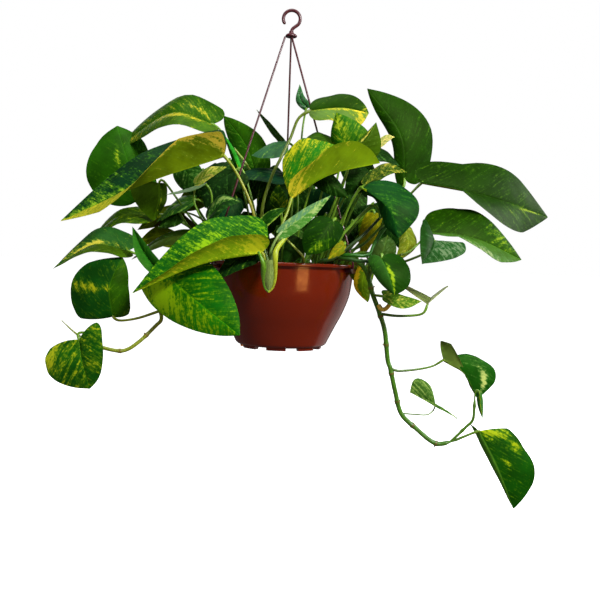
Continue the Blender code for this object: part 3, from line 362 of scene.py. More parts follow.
# Small leaves that the CAD part leaves out.
SMALL_LEAVES = {
    "leaf_olive_small": grow(
        [(-118, -30, 98), (-101, -32, 112), (-78, -35, 121)], (-3, 12, 10), (3, -12, -8),
        [(-118, -27, 70), (-90, -18, 25), (-52, -12, SOIL)],
        top=(112, 134, 26), marks=(206, 196, 84), cover=0.45),
    "leaf_rim_dark": grow(
        [(20, -86, 31), (11, -91, 14), (2, -92, -3)], (12, 2, -5), (-12, 4, 5),
        [(24, -80, 24), (24, -66, SOIL)], full=1.0,
        top=(16, 44, 6), marks=(60, 96, 20), cover=0.06),
    "leaf_rim_yellow": grow(
        [(76, -84, 25), (67, -87, 17), (55, -87, 6)], (4, 2, -6), (-4, 2, 6),
        [(74, -76, 24), (60, -60, SOIL)],
        top=(166, 160, 24), marks=(110, 134, 16), cover=0.3),
    "leaf_rim_olive": grow(
        [(97, -38, 6), (97, -42, -8), (101, -40, -25)], (10, 4, 0), (-12, 4, -2),
        [(94, -36, 11), (78, -28, 8), (68, -24, SOIL)], full=1.4,
        top=(84, 104, 14), marks=(120, 136, 40), cover=0.1),
    "leaf_right_fold": grow(
        [(117, -121, 9), (121, -119, 23), (125, -112, 37)], (-12, 6, -1), (16, 6, -2),
        [(115, -112, 12), (108, -92, 6), (106, -80, -12)], full=1.2,
        top=(52, 76, 26), marks=(118, 134, 78), cover=0.16, right_look=dict(top=(40, 64, 14))),
    "leaf_under_gold": grow(
        [(36, -74, 112), (55, -78, 100), (78, -78, 84)], (5, 8, 12), (-5, 4, -12),
        [(32, -68, 100), (18, -54, 40), (14, -44, SOIL)], full=0.8,
        top=(14, 46, 4), cover=0.05),
    "leaf_left_fold": grow(
        [(-66, 20, 126), (-76, 18, 150), (-88, 20, 173)], (-4, 2, -1), (5, 2, 1),
        [(-62, 20, 110), (-44, 14, 40), (-36, 10, SOIL)],
        top=(40, 150, 36), marks=(100, 190, 70), cover=0.05, left_look=dict(top=(14, 52, 6))),
    "leaf_left_grey": grow(
        [(-104, -40, 98), (-126, -42, 89), (-155, -40, 82)], (0, -20, -5), (0, 20, 4),
        [(-96, -38, 84), (-92, -34, 40), (-56, -28, SOIL)],
        top=(104, 132, 92), cover=0.2),
    "leaf_centre_dashed": grow(
        [(-5, -60, 64), (-9, -62, 82), (-10, -60, 100)], (-12, 3, 0), (12, 3, 0),
        [(-3, -56, 40), (0, -50, SOIL)],
        top=(20, 60, 5), marks=(190, 190, 40), cover=0.16),
    "leaf_right_cream": grow(
        [(122, -10, 162), (133, -10, 170), (142, -10, 172)], (0, 6, 7), (0, -6, -7),
        [(112, -8, 150), (70, -6, 70), (44, -4, SOIL)],
        top=CREAM, under=CREAM, marks=(120, 150, 40), cover=0.2),
    "leaf_back_small": grow(
        [(0, 20, 164), (-24, 15, 158), (-48, 10, 143)], (0, -22, -22), (0, 20, 4),
        [(10, 24, 140), (6, 25, SOIL)],
        top=(48, 92, 60), cover=0.1),
    "leaf_gap_a": grow(
        [(-78, 38, 112), (-68, 34, 92), (-54, 38, 72)], (18, 5, 8), (-18, 5, -8),
        [(-66, 42, 60), (-34, 26, SOIL)],
        top=DEEP, marks=OLIVE),
    "leaf_gap_b": grow(
        [(-40, 44, 122), (-50, 38, 98), (-58, 42, 76)], (18, 4, -6), (-18, 6, 6),
        [(-34, 46, 64), (-20, 32, SOIL)],
        marks=OLIVE, cover=0.1),
    "leaf_gap_c": grow(
        [(92, 14, 60), (88, 8, 38), (86, 12, 14)], (17, 4, 2), (-17, 6, -2),
        [(80, 18, 34), (44, 14, SOIL)],
        top=DEEP, cover=0.06),
    "leaf_gap_d": grow(
        [(116, 6, 64), (112, 0, 42), (104, 4, 18)], (14, 4, -4), (-14, 6, 4),
        [(98, 10, 36), (54, 12, SOIL)],
        top=KHAKI, marks=GOLD, cover=0.1),
    "leaf_gap_e": grow(
        [(-112, 46, 96), (-132, 42, 82), (-152, 46, 66)], (-11, 5, 14), (11, 5, -14),
        [(-90, 48, 60), (-38, 28, SOIL)],
        top=DEEP, marks=OLIVE),
    "leaf_gap_f": grow(
        [(-152, 30, 27), (-176, 26, 30), (-202, 30, 20)], (-2, 5, 14), (2, 5, -14),
        [(-118, 34, 34), (-42, 24, SOIL)],
        top=(34, 44, 8), marks=(70, 76, 24), cover=0.05),
    "leaf_gap_g": grow(
        [(-146, 36, 66), (-177, 32, 54), (-204, 36, 38)], (-5, 5, 12), (5, 5, -11),
        [(-110, 38, 52), (-40, 26, SOIL)],
        top=(16, 50, 8), marks=(96, 130, 40), cover=0.1),
    "leaf_left_inner": grow(
        [(-124, 0, 80), (-147, 0, 72), (-173, 0, 48)], (0, -25, -15), (0, 25, 10),
        [(-105, 8, 70), (-44, 12, SOIL)],
        top=(26, 72, 18), marks=(110, 150, 50), cover=0.3),
}

# Leaves deep inside the plant that fill its shade, out of the CAD part as well: base, middle and tip of
# the midrib, the left half's reach, how far back the right half's goes, and the stalk's arch and foot.
INNER_LEAVES = [
    ((-116, 40, 124), (-98, 36, 101), (-80, 44, 77), (19, 6, 14), 8, (-97, 44, 68), (-41, 28)),
    ((-34, 34, 124), (-16, 26, 97), (1, 30, 70), (20, 8, 13), 4, (-28, 38, 68), (-12, 24)),
    ((15, 40, 112), (21, 32, 78), (27, 36, 43), (25, 4, 4), 9, (13, 44, 62), (5, 28)),
    ((50, 30, 107), (62, 26, 77), (74, 34, 48), (23, 8, 10), 5, (41, 34, 59), (17, 21)),
    ((89, 38, 107), (91, 28, 76), (93, 30, 45), (24, 5, 2), 9, (75, 42, 59), (31, 27)),
    ((4, -6, 54), (13, -14, 28), (22, -10, 1), (19, 5, 6), 5, (3, -2, 30), (1, -4)),
    ((90, 30, 144), (106, 26, 119), (123, 34, 94), (19, 8, 12), 4, (75, 34, 79), (31, 21)),
    ((118, 10, 84), (127, 1, 53), (136, 4, 22), (22, 4, 6), 8, (98, 14, 46), (41, 7)),
    ((-144, 34, 128), (-127, 25, 105), (-109, 28, 82), (16, 8, 12), 4, (-121, 38, 70), (-51, 24)),
    ((-68, 18, 88), (-82, 9, 63), (-96, 12, 38), (16, 4, -9), 8, (-57, 22, 49), (-24, 13)),
    ((-40, 14, 65), (-45, 4, 38), (-51, 6, 12), (20, 4, -4), 8, (-33, 18, 35), (-14, 10)),
    ((55, 4, 67), (70, -5, 39), (84, -2, 12), (18, 8, 9), 4, (46, 8, 37), (19, 3)),
    ((-13, 26, 91), (-22, 17, 60), (-31, 20, 30), (21, 4, -6), 8, (-11, 30, 50), (-5, 18)),
    ((150, 6, 66), (155, -2, 43), (160, 2, 20), (15, 6, 3), 6, (126, 10, 36), (53, 4)),
    ((-80, 52, 141), (-69, 47, 119), (-59, 54, 97), (17, 5, 8), 5, (-67, 56, 77), (-28, 36)),
    ((32, 44, 158), (23, 41, 134), (14, 50, 111), (20, 5, -7), 8, (26, 48, 87), (11, 31)),
    ((77, 26, 171), (69, 22, 145), (60, 30, 119), (20, 6, -6), 6, (65, 30, 94), (27, 18)),
    ((-141, -2, 60), (-155, -9, 50), (-169, -4, 40), (6, 10, -9), 10, (-118, 2, 33), (-49, -1)),
]
INNER_TONES = [DEEP, (18, 56, 12), (24, 66, 10), TEAL, DEEP, (34, 70, 10)]

# Leaves behind, out of sight from the front: azimuth in degrees, distance of the base from the bowl's
# axis and its height, how far the tip is beyond and below it, half the width, and how far the stalk's
# foot is from the axis if that isn't the usual.
REAR_LEAVES = [
    (62, 84, 60, 42, 78, 26),
    (96, 70, 96, 44, 60, 30),
    (124, 84, 52, 40, 70, 27),
    (80, 108, 8, 8, 78, 26),
    (108, 106, 14, 9, 84, 28),
    (46, 92, 30, 40, 50, 24),
    (138, 88, 26, 44, 50, 25),
    (76, 40, 120, 50, 30, 28, 30),
    (112, 44, 130, 46, 36, 27, 32),
    (92, 106, 40, 10, 74, 24),
]
REAR_TONES = [DARK, GREEN, PLAIN, DEEP, TEAL]

# Stalks whose leaves are hidden, and a curled, spent one: radius, colour, and the route from the foot.
STALKS = {
    "stalk_curled": (2.7, (204, 168, 44), [
        (121, -85, -50), (124, -90, -54), (129, -92, -53), (136, -91, -44), (141, -88, -34),
        (145, -86, -25)]),
    "stalk_rim_pale": (1.5, (150, 170, 60), [
        (24, -76, SOIL), (25, -88, 5), (15, -98, 17), (3, -98, 28)]),
    "stalk_rim_thick": (2.6, (30, 62, 6), [
        (40, -66, SOIL), (46, -80, 2), (61, -84, 7), (79, -82, 21), (95, -80, 34)]),
    "stalk_loop": (1.9, (96, 140, 24), [
        (58, -50, SOIL), (71, -60, 31), (81, -60, 46), (97, -60, 64), (110, -60, 76), (118, -60, 73),
        (122, -56, 60)]),
    "stalk_right_dark": (2.1, (36, 66, 8), [
        (62, -54, SOIL), (72, -65, 8), (87, -60, 25), (107, -55, 45), (125, -50, 65)]),
    "stalk_right_bright": (2.6, (38, 100, 12), [
        (48, -50, SOIL), (60, -60, 8), (81, -78, 12), (106, -78, 13), (113, -76, 26), (121, -74, 40),
        (132, -70, 56)]),
    "stalk_right_low": (2.6, (34, 74, 8), [
        (50, -54, SOIL), (61, -66, 6), (78, -82, 7), (95, -88, 5), (112, -92, 6)]),
    "stalk_back_pale": (2.0, (120, 150, 40), [
        (-20, 24, SOIL), (-38, 36, 90), (-52, 40, 128), (-74, 40, 156)]),
}

# Trailing vines and shoots: radius, what they grow from (None is the soil), and the route outwards.
VINES = {
    "vine_right": (3.0, None, [
        (58, -46, SOIL), (74, -60, 8), (92, -72, 5), (105, -78, -9), (113, -80, -35), (122, -78, -57),
        (131, -74, -82), (137, -68, -119), (141, -68, -131), (149, -64, -161), (158, -62, -189),
        (177, -62, -207), (204, -64, -226), (228, -66, -221)]),
    "shoot_right": (1.8, "vine_right", [
        (222, -66, -218), (241, -68, -203), (249, -70, -193), (250, -71, -177), (250, -71, -159)]),
    "vine_left": (2.4, None, [
        (-46, -54, SOIL), (-72, -62, 12), (-94, -70, 10), (-120, -76, 2), (-138, -78, -10),
        (-150, -80, -35), (-152, -81, -60), (-150, -83, -76), (-156, -86, -84), (-175, -95, -104),
        (-193, -100, -115), (-217, -102, -112), (-232, -101, -105)]),
    "shoot_left": (1.0, "vine_left", [(-233, -101, -104), (-250, -102, -96), (-268, -104, -80)]),
    "stem_front": (3.0, None, [
        (-8, -64, SOIL), (-10, -84, 8), (-12, -106, 11), (-14, -118, 0), (-16, -122, -18),
        (-16.5, -123, -33)]),
}

# The open sheath in front of the front stem, from its point upwards.
SHEATH_ROUTE = [(-16.6, -127.4, -36), (-16.5, -136, -22), (-16, -143, -4), (-15.5, -148, 13)]
SHEATH_HALF_WIDTHS = [2.0, 5.5, 7.0, 7.6, 8.0, 8.2, 8.2]
SHEATH_THICKNESS = 0.8


# ---- leaves ----

# Half of a blade's outline, from the notch round the lobe to the tip: share of the midrib's length,
# share of the greatest reach. HALF_OUTLINE is the CAD's; FULL_OUTLINE has a rounder end.
HALF_OUTLINE = [(0.0, 0.0), (-0.06, 0.18), (-0.095, 0.42), (-0.06, 0.70), (0.06, 0.92), (0.24, 1.0),
                (0.44, 0.90), (0.62, 0.66), (0.78, 0.37), (0.90, 0.14), (1.0, 0.0)]
FULL_OUTLINE = HALF_OUTLINE[:6] + [(0.44, 0.97), (0.62, 0.82), (0.78, 0.58), (0.90, 0.32), (1.0, 0.0)]
ROW_POWER = 1.6           # how the sections fan out from the notch
WIDE_AT = 0.25            # share of the midrib where the reaches are measured
TIP_REACH_AT = 0.65       # and where the reaches nearer the tip are
BLADE_ROWS = 46
BLADE_COLUMNS = 13        # in each half
BLADE_HALF_THICKNESS = 0.25
RIB_HEIGHT = 0.9          # how far the midrib stands out under the blade
RIB_WIDTH = 1.0
GROOVE_DEPTH = 0.6        # of the midrib, on the upper face
BELLY = 0.07              # bulge of each half, as a share of its width
VEIN_SPACING = 9.0        # between the side veins, along the midrib
VEIN_SLOPE = 1.0          # how far forward a side vein runs for each step outwards
VEIN_HEIGHT = 0.22
STALK_SIDES = 12
STEM_SIDE = (0, 1, 0.2)    # a direction that no vine or loose stalk runs along
FLECK_SPREAD = 0.09       # how widely the fleck pattern varies
MARGIN_WAVE = 0.022       # height of the waves in the margin, as a share of the half's width
FIRST_ROW = 0.012         # shares of the outline where a blade's rows start and end
LAST_ROW = 0.996
COLUMN_POWER = 1.25       # how the columns gather near the midrib
CURVE_STEPS = 16          # between two given points of a smooth curve
OUTLINE_POINTS = 97
RIB_POINTS = 65


def unit(vector):
    return vector / max(np.linalg.norm(vector), 1e-9)


def smooth_curve(points, count):
    """count points, evenly spaced, on a smooth curve through the given points."""
    given = np.asarray(points, float)
    given = np.vstack([2 * given[0] - given[1], given, 2 * given[-1] - given[-2]])
    fine = []
    for before, start, end, after in zip(given, given[1:], given[2:], given[3:]):
        for t in np.linspace(0, 1, CURVE_STEPS, endpoint=False):
            fine.append(0.5 * (2 * start + (end - before) * t
                               + (2 * before - 5 * start + 4 * end - after) * t ** 2
                               + (3 * start - before - 3 * end + after) * t ** 3))
    fine = np.array(fine + [given[-2]])
    steps = np.linalg.norm(np.diff(fine, axis=0), axis=1)
    gone = np.concatenate([[0], np.cumsum(steps)])
    wanted = np.linspace(0, gone[-1], count)
    return np.stack([np.interp(wanted, gone, fine[:, axis]) for axis in range(fine.shape[1])], axis=1)


def compass(azimuth):
    """Outward and sideways directions at an azimuth in degrees round the bowl's axis."""
    turn = math.radians(azimuth)
    return np.array([math.cos(turn), math.sin(turn), 0]), np.array([-math.sin(turn), math.cos(turn), 0])


def route_length(points):
    return np.linalg.norm(np.diff(np.asarray(points, float), axis=0), axis=1).sum()


def linear(colour):
    """A 0 to 255 colour as the linear values that shaders take."""
    share = np.asarray(colour, float) / 255
    return np.where(share <= 0.04045, share / 12.92, ((share + 0.055) / 1.055) ** 2.4)


def flat_tone(colour, count):
    return np.tile(linear(colour), (count, 1))


def blended(first, second, share):
    """Two colours mixed, one row for each share of the second."""
    return linear(first) * (1 - share) + linear(second) * share


# The values that the leaf and stem materials take from a mesh: their kind, and the field that holds them.
ATTRIBUTES = {"tone": ("FLOAT_COLOR", "color"), "marks": ("FLOAT_COLOR", "color"),
              "cover": ("FLOAT", "value"), "streak": ("FLOAT_VECTOR", "vector"), "upper": ("FLOAT", "value")}


def set_attribute(mesh, name, values):
    kind, field = ATTRIBUTES[name]
    if kind == "FLOAT_COLOR":
        values = np.hstack([values, np.ones((len(values), 1))])
    layer = mesh.attributes.new(name, kind, "POINT")
    layer.data.foreach_set(field, np.ascontiguousarray(values, np.float32).ravel())


def new_object(name, data):
    made = bpy.data.objects.new(name, data)
    bpy.context.scene.collection.objects.link(made)
    return made


def add_piece(name, points, faces, materials, stands_for=(), face_material=None, attributes=None,
              smooth_angle=50):
    """A visible piece from points in millimetres, riding on the part's one body."""
    mesh = bpy.data.meshes.new(name)
    places = np.asarray(points, float) * MM + np.array([0, 0, RIM_Z])
    mesh.from_pydata(places.tolist(), [], faces)
    for material in materials:
        mesh.materials.append(material)
    if face_material is not None:
        mesh.polygons.foreach_set("material_index", face_material)
    for key, values in (attributes or {}).items():
        set_attribute(mesh, key, values)
    mesh.shade_smooth()
    mesh.set_sharp_from_angle(angle=math.radians(smooth_angle))
    piece = new_object(name, mesh)
    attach(piece, "root")
    if stands_for:
        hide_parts(*stands_for)
    return piece


def grid_faces(ids, closed=False):
    """Quads between neighbouring rows and columns of vertex numbers; closed joins last column to first."""
    here = ids if closed else ids[:, :-1]
    beside = np.roll(ids, -1, axis=1) if closed else ids[:, 1:]
    return np.stack([here[:-1], beside[:-1], beside[1:], here[1:]], axis=-1).reshape(-1, 4).tolist()


def ring_frames(path, first_side):
    """Directions along a path and two crosswise ones that turn as little as possible."""
    side = np.asarray(first_side, float)
    frames = []
    for direction in np.gradient(path, axis=0):
        direction = unit(direction)
        side = unit(side - direction * (side @ direction))
        frames.append((direction, side, np.cross(direction, side)))
    return frames


def tube(path, radii, first_side, sides=STALK_SIDES, groove=0.0):
    """Points and faces of a closed tube; groove sinks its side opposite to first_side x direction."""
    angles = np.linspace(0, 2 * math.pi, sides, endpoint=False)
    shape = 1 - groove * np.exp(-(((angles - math.pi / 2) / 0.55) ** 2))
    rings = []
    for point, radius, (_, side, over) in zip(path, radii, ring_frames(path, first_side)):
        rings.append([point + radius * s * (math.cos(a) * side + math.sin(a) * over)
                      for a, s in zip(angles, shape)])
    count = len(path)
    ids = np.arange(count * sides).reshape(count, sides)
    faces = grid_faces(ids, closed=True) + [ids[0][::-1].tolist(), ids[-1].tolist()]
    return np.array(rings).reshape(-1, 3), faces


def joined(points, faces, more_points, more_faces):
    """Points and faces of two shells as one."""
    return (np.concatenate([points, more_points]),
            faces + [[i + len(points) for i in face] for face in more_faces])


class Blade:
    """The middle surface of one leaf blade, as in the CAD."""

    def __init__(self, leaf):
        self.leaf = leaf
        full = leaf["full"]
        outline = (1 - full) * np.array(HALF_OUTLINE) + full * np.array(FULL_OUTLINE)
        self.outline = smooth_curve(outline, OUTLINE_POINTS)
        self.rib = smooth_curve(leaf["rib"], RIB_POINTS)
        self.length = route_length(self.rib)
        self.side = unit(np.array(leaf["right"], float) - np.array(leaf["left"], float))
        arrival = unit(self.rib[0] - np.array(leaf["stalk"][0], float))
        self.lobe = leaf.get("lobe", np.clip(arrival @ unit(self.rib[1] - self.rib[0]), 0, 1))

    def rib_at(self, share):
        place = np.clip(share, 0, 1) * (len(self.rib) - 1)
        on_rib = np.stack([np.interp(place, range(len(self.rib)), self.rib[:, axis]) for axis in range(3)],
                          axis=-1)
        behind = np.minimum(share, 0)[..., None] * self.length * unit(self.rib[1] - self.rib[0])
        return on_rib + behind

    def reach(self, half, share):
        reach = np.array(self.leaf[half], float)
        tip_reach = np.array(self.leaf.get(half + "_tip", self.leaf[half]), float)
        turn = np.clip((share - WIDE_AT) / (TIP_REACH_AT - WIDE_AT), 0, 1.2)[..., None]
        return reach + (tip_reach - reach) * turn

    def surface(self, rows, columns):
        """Points, share along the midrib and offset from it, for rows 0..1 and columns -1..1."""
        row, across = np.meshgrid(rows, columns, indexing="ij")
        place = row * (len(self.outline) - 1)
        back, wide = [np.interp(place, range(len(self.outline)), self.outline[:, axis]) for axis in range(2)]
        back = np.where(back < 0, back * self.lobe, back)
        root = row ** ROW_POWER
        share = root + abs(across) * (back - root)
        reach = np.where((across < 0)[..., None], self.reach("left", share), self.reach("right", share))
        offset = reach * (wide * abs(across))[..., None]
        return self.rib_at(share) + offset, share, offset


def grid_normals(points):
    normal = np.cross(np.gradient(points, axis=1), np.gradient(points, axis=0))
    return normal / np.maximum(np.linalg.norm(normal, axis=2, keepdims=True), 1e-9)


def two_sheets(upper, lower):
    """Points and faces of a thin closed piece: an upper and a lower grid that meet round their edge."""
    top = np.arange(upper.shape[0] * upper.shape[1]).reshape(upper.shape[:2])
    rim = np.concatenate([top[:, 0], top[-1, 1:], top[-2::-1, -1], top[0, -2:0:-1], top[:1, 0]])
    faces = grid_faces(top) + [face[::-1] for face in grid_faces(top + top.size)]
    faces += grid_faces(np.stack([rim, rim + top.size]))
    return np.concatenate([upper.reshape(-1, 3), lower.reshape(-1, 3)]), faces


def blade_lift(share, across, distance, half_width, length, seed):
    """How far the real surface stands off the plain one: bulge, wavy margin, side veins and midrib groove."""
    inner = 4 * abs(across) * (1 - abs(across))
    lift = BELLY * half_width * inner
    side = np.where(across < 0, 0.0, 2.1)
    wave = np.sin(share * 13 + seed + side) + 0.6 * np.sin(share * 23 + 2.3 * seed - side)
    lift += MARGIN_WAVE * half_width * abs(across) ** 3 * wave * np.clip(1.1 - share, 0, 1)
    along = (share * length - distance * VEIN_SLOPE) / VEIN_SPACING
    lift += VEIN_HEIGHT * np.cos(2 * math.pi * along) * inner
    return lift - GROOVE_DEPTH * np.exp(-((distance / 1.3) ** 2)) * np.clip(1 - share, 0.2, 1)


def cover_level(cover):
    """What to add to the fleck pattern for the flecks to take up this share of a sheet."""
    return FLECK_SPREAD * NormalDist().inv_cdf(min(max(cover, 0.004), 0.996))


def sheet_look(leaf, sheet, share, across):
    """Colour, fleck colour and fleck level over one sheet, "top" or "under", of a blade."""
    looks = []
    for half in ("left", "right"):
        own = {**leaf, **leaf.get(half + "_look", {})}
        marks, cover = own["marks"], own["cover"]
        if sheet == "under":
            marks, cover = own.get("under_marks", marks), own.get("under_cover", cover)
        level = np.full(share.shape, cover_level(cover))
        for along, aside, radius_along, radius_aside, strength in own[sheet + "_patches"]:
            distance = ((share - along) / radius_along) ** 2 + ((across - aside) / radius_aside) ** 2
            level += strength * np.exp(-distance)
        looks.append((linear(own[sheet]), linear(marks), level.ravel()))
    on_left = (across < 0).ravel()
    pick = on_left[:, None]
    (left_tone, left_marks, left_level), (right_tone, right_marks, right_level) = looks
    return (np.where(pick, left_tone, right_tone), np.where(pick, left_marks, right_marks),
            np.where(on_left, left_level, right_level))


def blade_parts(leaf, seed):
    """Points, faces and attributes of a blade: an upper and a lower sheet that meet round the margin."""
    blade = Blade(leaf)
    rows = np.linspace(FIRST_ROW, LAST_ROW, BLADE_ROWS)
    spread = np.linspace(-1, 1, 2 * BLADE_COLUMNS + 1)
    columns = np.sign(spread) * abs(spread) ** COLUMN_POWER
    middle, share, offset = blade.surface(rows, columns)
    across = np.broadcast_to(columns, share.shape)
    distance = np.linalg.norm(offset, axis=2)
    half_width = np.broadcast_to(distance[:, [0, -1]].mean(axis=1, keepdims=True), share.shape)
    lift = blade_lift(share, across, distance, half_width, blade.length, seed)
    middle = middle + grid_normals(middle) * lift[..., None]
    normal = grid_normals(middle)
    edge = np.clip(1.6 * (1 - abs(across)) + 0.35, 0, 1)
    thick = BLADE_HALF_THICKNESS * edge
    rib = RIB_HEIGHT * np.exp(-((distance / RIB_WIDTH) ** 2)) * np.clip(1.05 - share, 0.1, 1)
    upper = middle + normal * thick[..., None]
    lower = middle - normal * (thick + rib)[..., None]
    sheets = [sheet_look(leaf, sheet, share, across) for sheet in ("top", "under")]
    tone, marks, level = [np.concatenate(pair) for pair in zip(*sheets)]
    signed = np.where(across < 0, -distance, distance) / 10
    streak = np.stack([(share * blade.length - distance * VEIN_SLOPE) / 10, abs(signed),
                       np.full(share.shape, seed) + np.sign(signed) * 3], axis=-1)
    points, faces = two_sheets(upper, lower)
    return points, faces, {
        "tone": tone,
        "marks": marks,
        "cover": level,
        "streak": np.tile(streak.reshape(-1, 3), (2, 1)),
        "upper": np.repeat([1.0, 0.0], share.size),
    }


def stalk_foot(foot, host):
    """Where a stalk ends: a little below the soil, or inside its vine."""
    if host is None:
        return np.array([foot[0], foot[1], SOIL - 3.0])
    _, _, route = VINES[host]
    path = smooth_curve(route, int(route_length(route)))
    return path[np.argmin(np.linalg.norm(path - np.array(foot, float), axis=1))]


def stalk_parts(leaf):
    """Points, faces and colours of a leaf's stalk."""
    blade = Blade(leaf)
    foot = stalk_foot(leaf["stalk"][-1], leaf["host"])
    start = blade.rib_at(np.array([0.02]))[0] - np.array([0, 0, 0.2])
    route = [start, leaf["rib"][0]] + leaf["stalk"][:-1] + [foot]
    length = route_length(route)
    path = smooth_curve(route, int(length / 4) + 6)
    gone = np.linspace(0, length, len(path))
    radius = leaf["stem"]
    radii = radius * (0.72 + 0.3 * (gone / length) ** 1.5 + 0.22 * np.exp(-(((gone - 7) / 6) ** 2)))
    radii[0] = radius * 0.35
    points, faces = tube(path, radii, blade.side, groove=0.22)
    along = np.repeat(gone / length, STALK_SIDES)[:, None]
    return points, faces, blended(leaf["stalk_tone"], leaf["foot_tone"], along)


def add_leaf(name, leaf, seed, stands_for=()):
    points, faces, attributes = blade_parts(leaf, seed)
    stalk_points, stalk_faces, stalk_tone = stalk_parts(leaf)
    of_stalk = {"tone": stalk_tone, "marks": stalk_tone, "cover": np.zeros(len(stalk_points)),
                "streak": stalk_points / 10, "upper": np.ones(len(stalk_points))}
    attributes = {key: np.concatenate([attributes[key], of_stalk[key]]) for key in ATTRIBUTES}
    face_material = np.repeat([0, 1], [len(faces), len(stalk_faces)])
    points, faces = joined(points, faces, stalk_points, stalk_faces)
    add_piece(name + "_fine", points, faces, [LEAF_MATERIAL, STEM_MATERIAL], stands_for,
              face_material, attributes)


# ---- vines, shoots and the front sheath ----

NODE_SPACING = 38.0       # between a vine's nodes
FIRST_NODE = 20.0
NODE_SWELLING = 0.3
NODE_LENGTH = 2.4
RING_LENGTH = 0.9         # of the brown ring at a node
THIN_STEM = 2.0           # at or below this radius there are no rings and no root nubs
VINE_GREENS = {"vine_left": (126, 140, 24), "shoot_left": (126, 140, 24), "vine_right": (64, 116, 14)}
SHOOT_GREEN = (74, 118, 22)
NODE_BROWN = (112, 70, 34)
SHEATH_GREEN = (142, 166, 84)
STRIPE_GREEN = (60, 110, 30)


def root_nub(place, direction, side, length):
    tip = place + (side * 0.9 - direction * 0.3) * length
    path = smooth_curve([place, (place + tip) / 2 + direction * 0.3, tip], 5)
    return tube(path, np.array([1.0, 1.0, 0.85, 0.6, 0.2]), direction, sides=8)


def add_stem(name, points, faces, tone, stands_for=()):
    add_piece(name, points, faces, [STEM_MATERIAL], stands_for, attributes={"tone": tone})


def add_vine(name):
    radius, host, route = VINES[name]
    route = [stalk_foot(route[0], host)] + list(route[1:])
    length = route_length(route)
    path = smooth_curve(route, int(length / 1.6) + 8)
    gone = np.linspace(0, length, len(path))
    half = NODE_SPACING / 2
    from_node = abs((gone - FIRST_NODE + half) % NODE_SPACING - half)
    swell = 1 + NODE_SWELLING * np.exp(-((from_node / NODE_LENGTH) ** 2))
    end = np.clip((length - gone) / 12, 0.55, 1)
    points, faces = tube(path, radius * swell * end, STEM_SIDE)
    ring = np.exp(-((from_node / RING_LENGTH) ** 2)) * (radius > THIN_STEM)
    tone = blended(VINE_GREENS.get(name, SHOOT_GREEN), NODE_BROWN, ring[:, None])
    tone = np.repeat(tone, STALK_SIDES, axis=0)
    frames = ring_frames(path, (0, -1, 0.4))
    nodes = np.arange(FIRST_NODE, length - 6, NODE_SPACING) if radius > THIN_STEM else []
    for k, place in enumerate(nodes):
        i = int(np.argmin(abs(gone - place)))
        direction, side, over = frames[i]
        turn = 1.7 * k
        sideways = math.cos(turn) * side + math.sin(turn) * over
        nub, nub_faces = root_nub(path[i] + sideways * radius * 0.8, direction, sideways, 2.6 + k % 3)
        points, faces = joined(points, faces, nub, nub_faces)
        tone = np.concatenate([tone, flat_tone(NODE_BROWN, len(nub))])
    add_stem(name + "_fine", points, faces, tone, [name])


def add_plain_stalk(name, radius, colour, route):
    """A stalk on its own, thicker at its foot."""
    path = smooth_curve(route, int(route_length(route) / 4) + 8)
    points, faces = tube(path, np.linspace(1.1, 0.85, len(path)) * radius, STEM_SIDE)
    add_stem(name, points, faces, flat_tone(colour, len(points)))


SHEATH_ROWS = 30
SHEATH_COLUMNS = 15
MEMBRANE_ROWS = 24        # of them, from the point upwards
SHEATH_DEPTH = 0.55       # from its middle back to its margins, as a share of its half width
STRIPE_DEPTH = 0.45
# Its two margins: the column they follow, radius, colour, and the arm that each runs on into.
SHEATH_MARGINS = [
    (0, 2.1, (92, 142, 22), [(-23.5, -142, -4), (-27, -142, 6), (-30, -139, 11)]),
    (-1, 2.3, (164, 180, 34), [(-10, -142, 4), (-8.5, -141, 15), (-1, -138, 26), (6, -134, 34)]),
]
MARGIN_POINTS = 44


def add_sheath():
    """A membrane between two thick margins, which run on into the leaf stalks."""
    path = smooth_curve(SHEATH_ROUTE, SHEATH_ROWS)
    widths = np.interp(np.linspace(0, 6, SHEATH_ROWS), range(7), SHEATH_HALF_WIDTHS)
    across = np.linspace(-1, 1, SHEATH_COLUMNS)
    middle = np.empty((SHEATH_ROWS, SHEATH_COLUMNS, 3))
    middle[..., 0] = path[:, None, 0] + widths[:, None] * across * 0.97
    middle[..., 1] = (path[:, None, 1] + widths[:, None] * SHEATH_DEPTH * abs(across) ** 1.6
                      + SHEATH_THICKNESS / 2)
    middle[..., 2] = path[:, None, 2]
    normal = grid_normals(middle)
    membrane = middle[:MEMBRANE_ROWS]
    lift = normal[:MEMBRANE_ROWS] * 0.3
    points, faces = two_sheets(membrane + lift, membrane - lift)
    stripe = STRIPE_DEPTH * (0.5 + 0.5 * np.cos(across * 26))[:, None]
    tone = np.tile(blended(SHEATH_GREEN, STRIPE_GREEN, stripe), (2 * MEMBRANE_ROWS, 1))
    for column, radius, colour, arm in SHEATH_MARGINS:
        point, side = middle[0, SHEATH_COLUMNS // 2], middle[(4, 12), column]
        edge_path = smooth_curve([tuple(point), *map(tuple, side)] + arm, MARGIN_POINTS)
        swell = np.interp(np.linspace(0, 1, MARGIN_POINTS), [0, 0.3, 0.6, 1], [0.6, 1.0, 1.5, 0.8])
        edge, edge_faces = tube(edge_path, swell * radius, STEM_SIDE)
        points, faces = joined(points, faces, edge, edge_faces)
        tone = np.concatenate([tone, flat_tone(colour, len(edge))])
    add_stem("sheath_front_fine", points, faces, tone, ["sheath_front"])


# ---- bowl ----

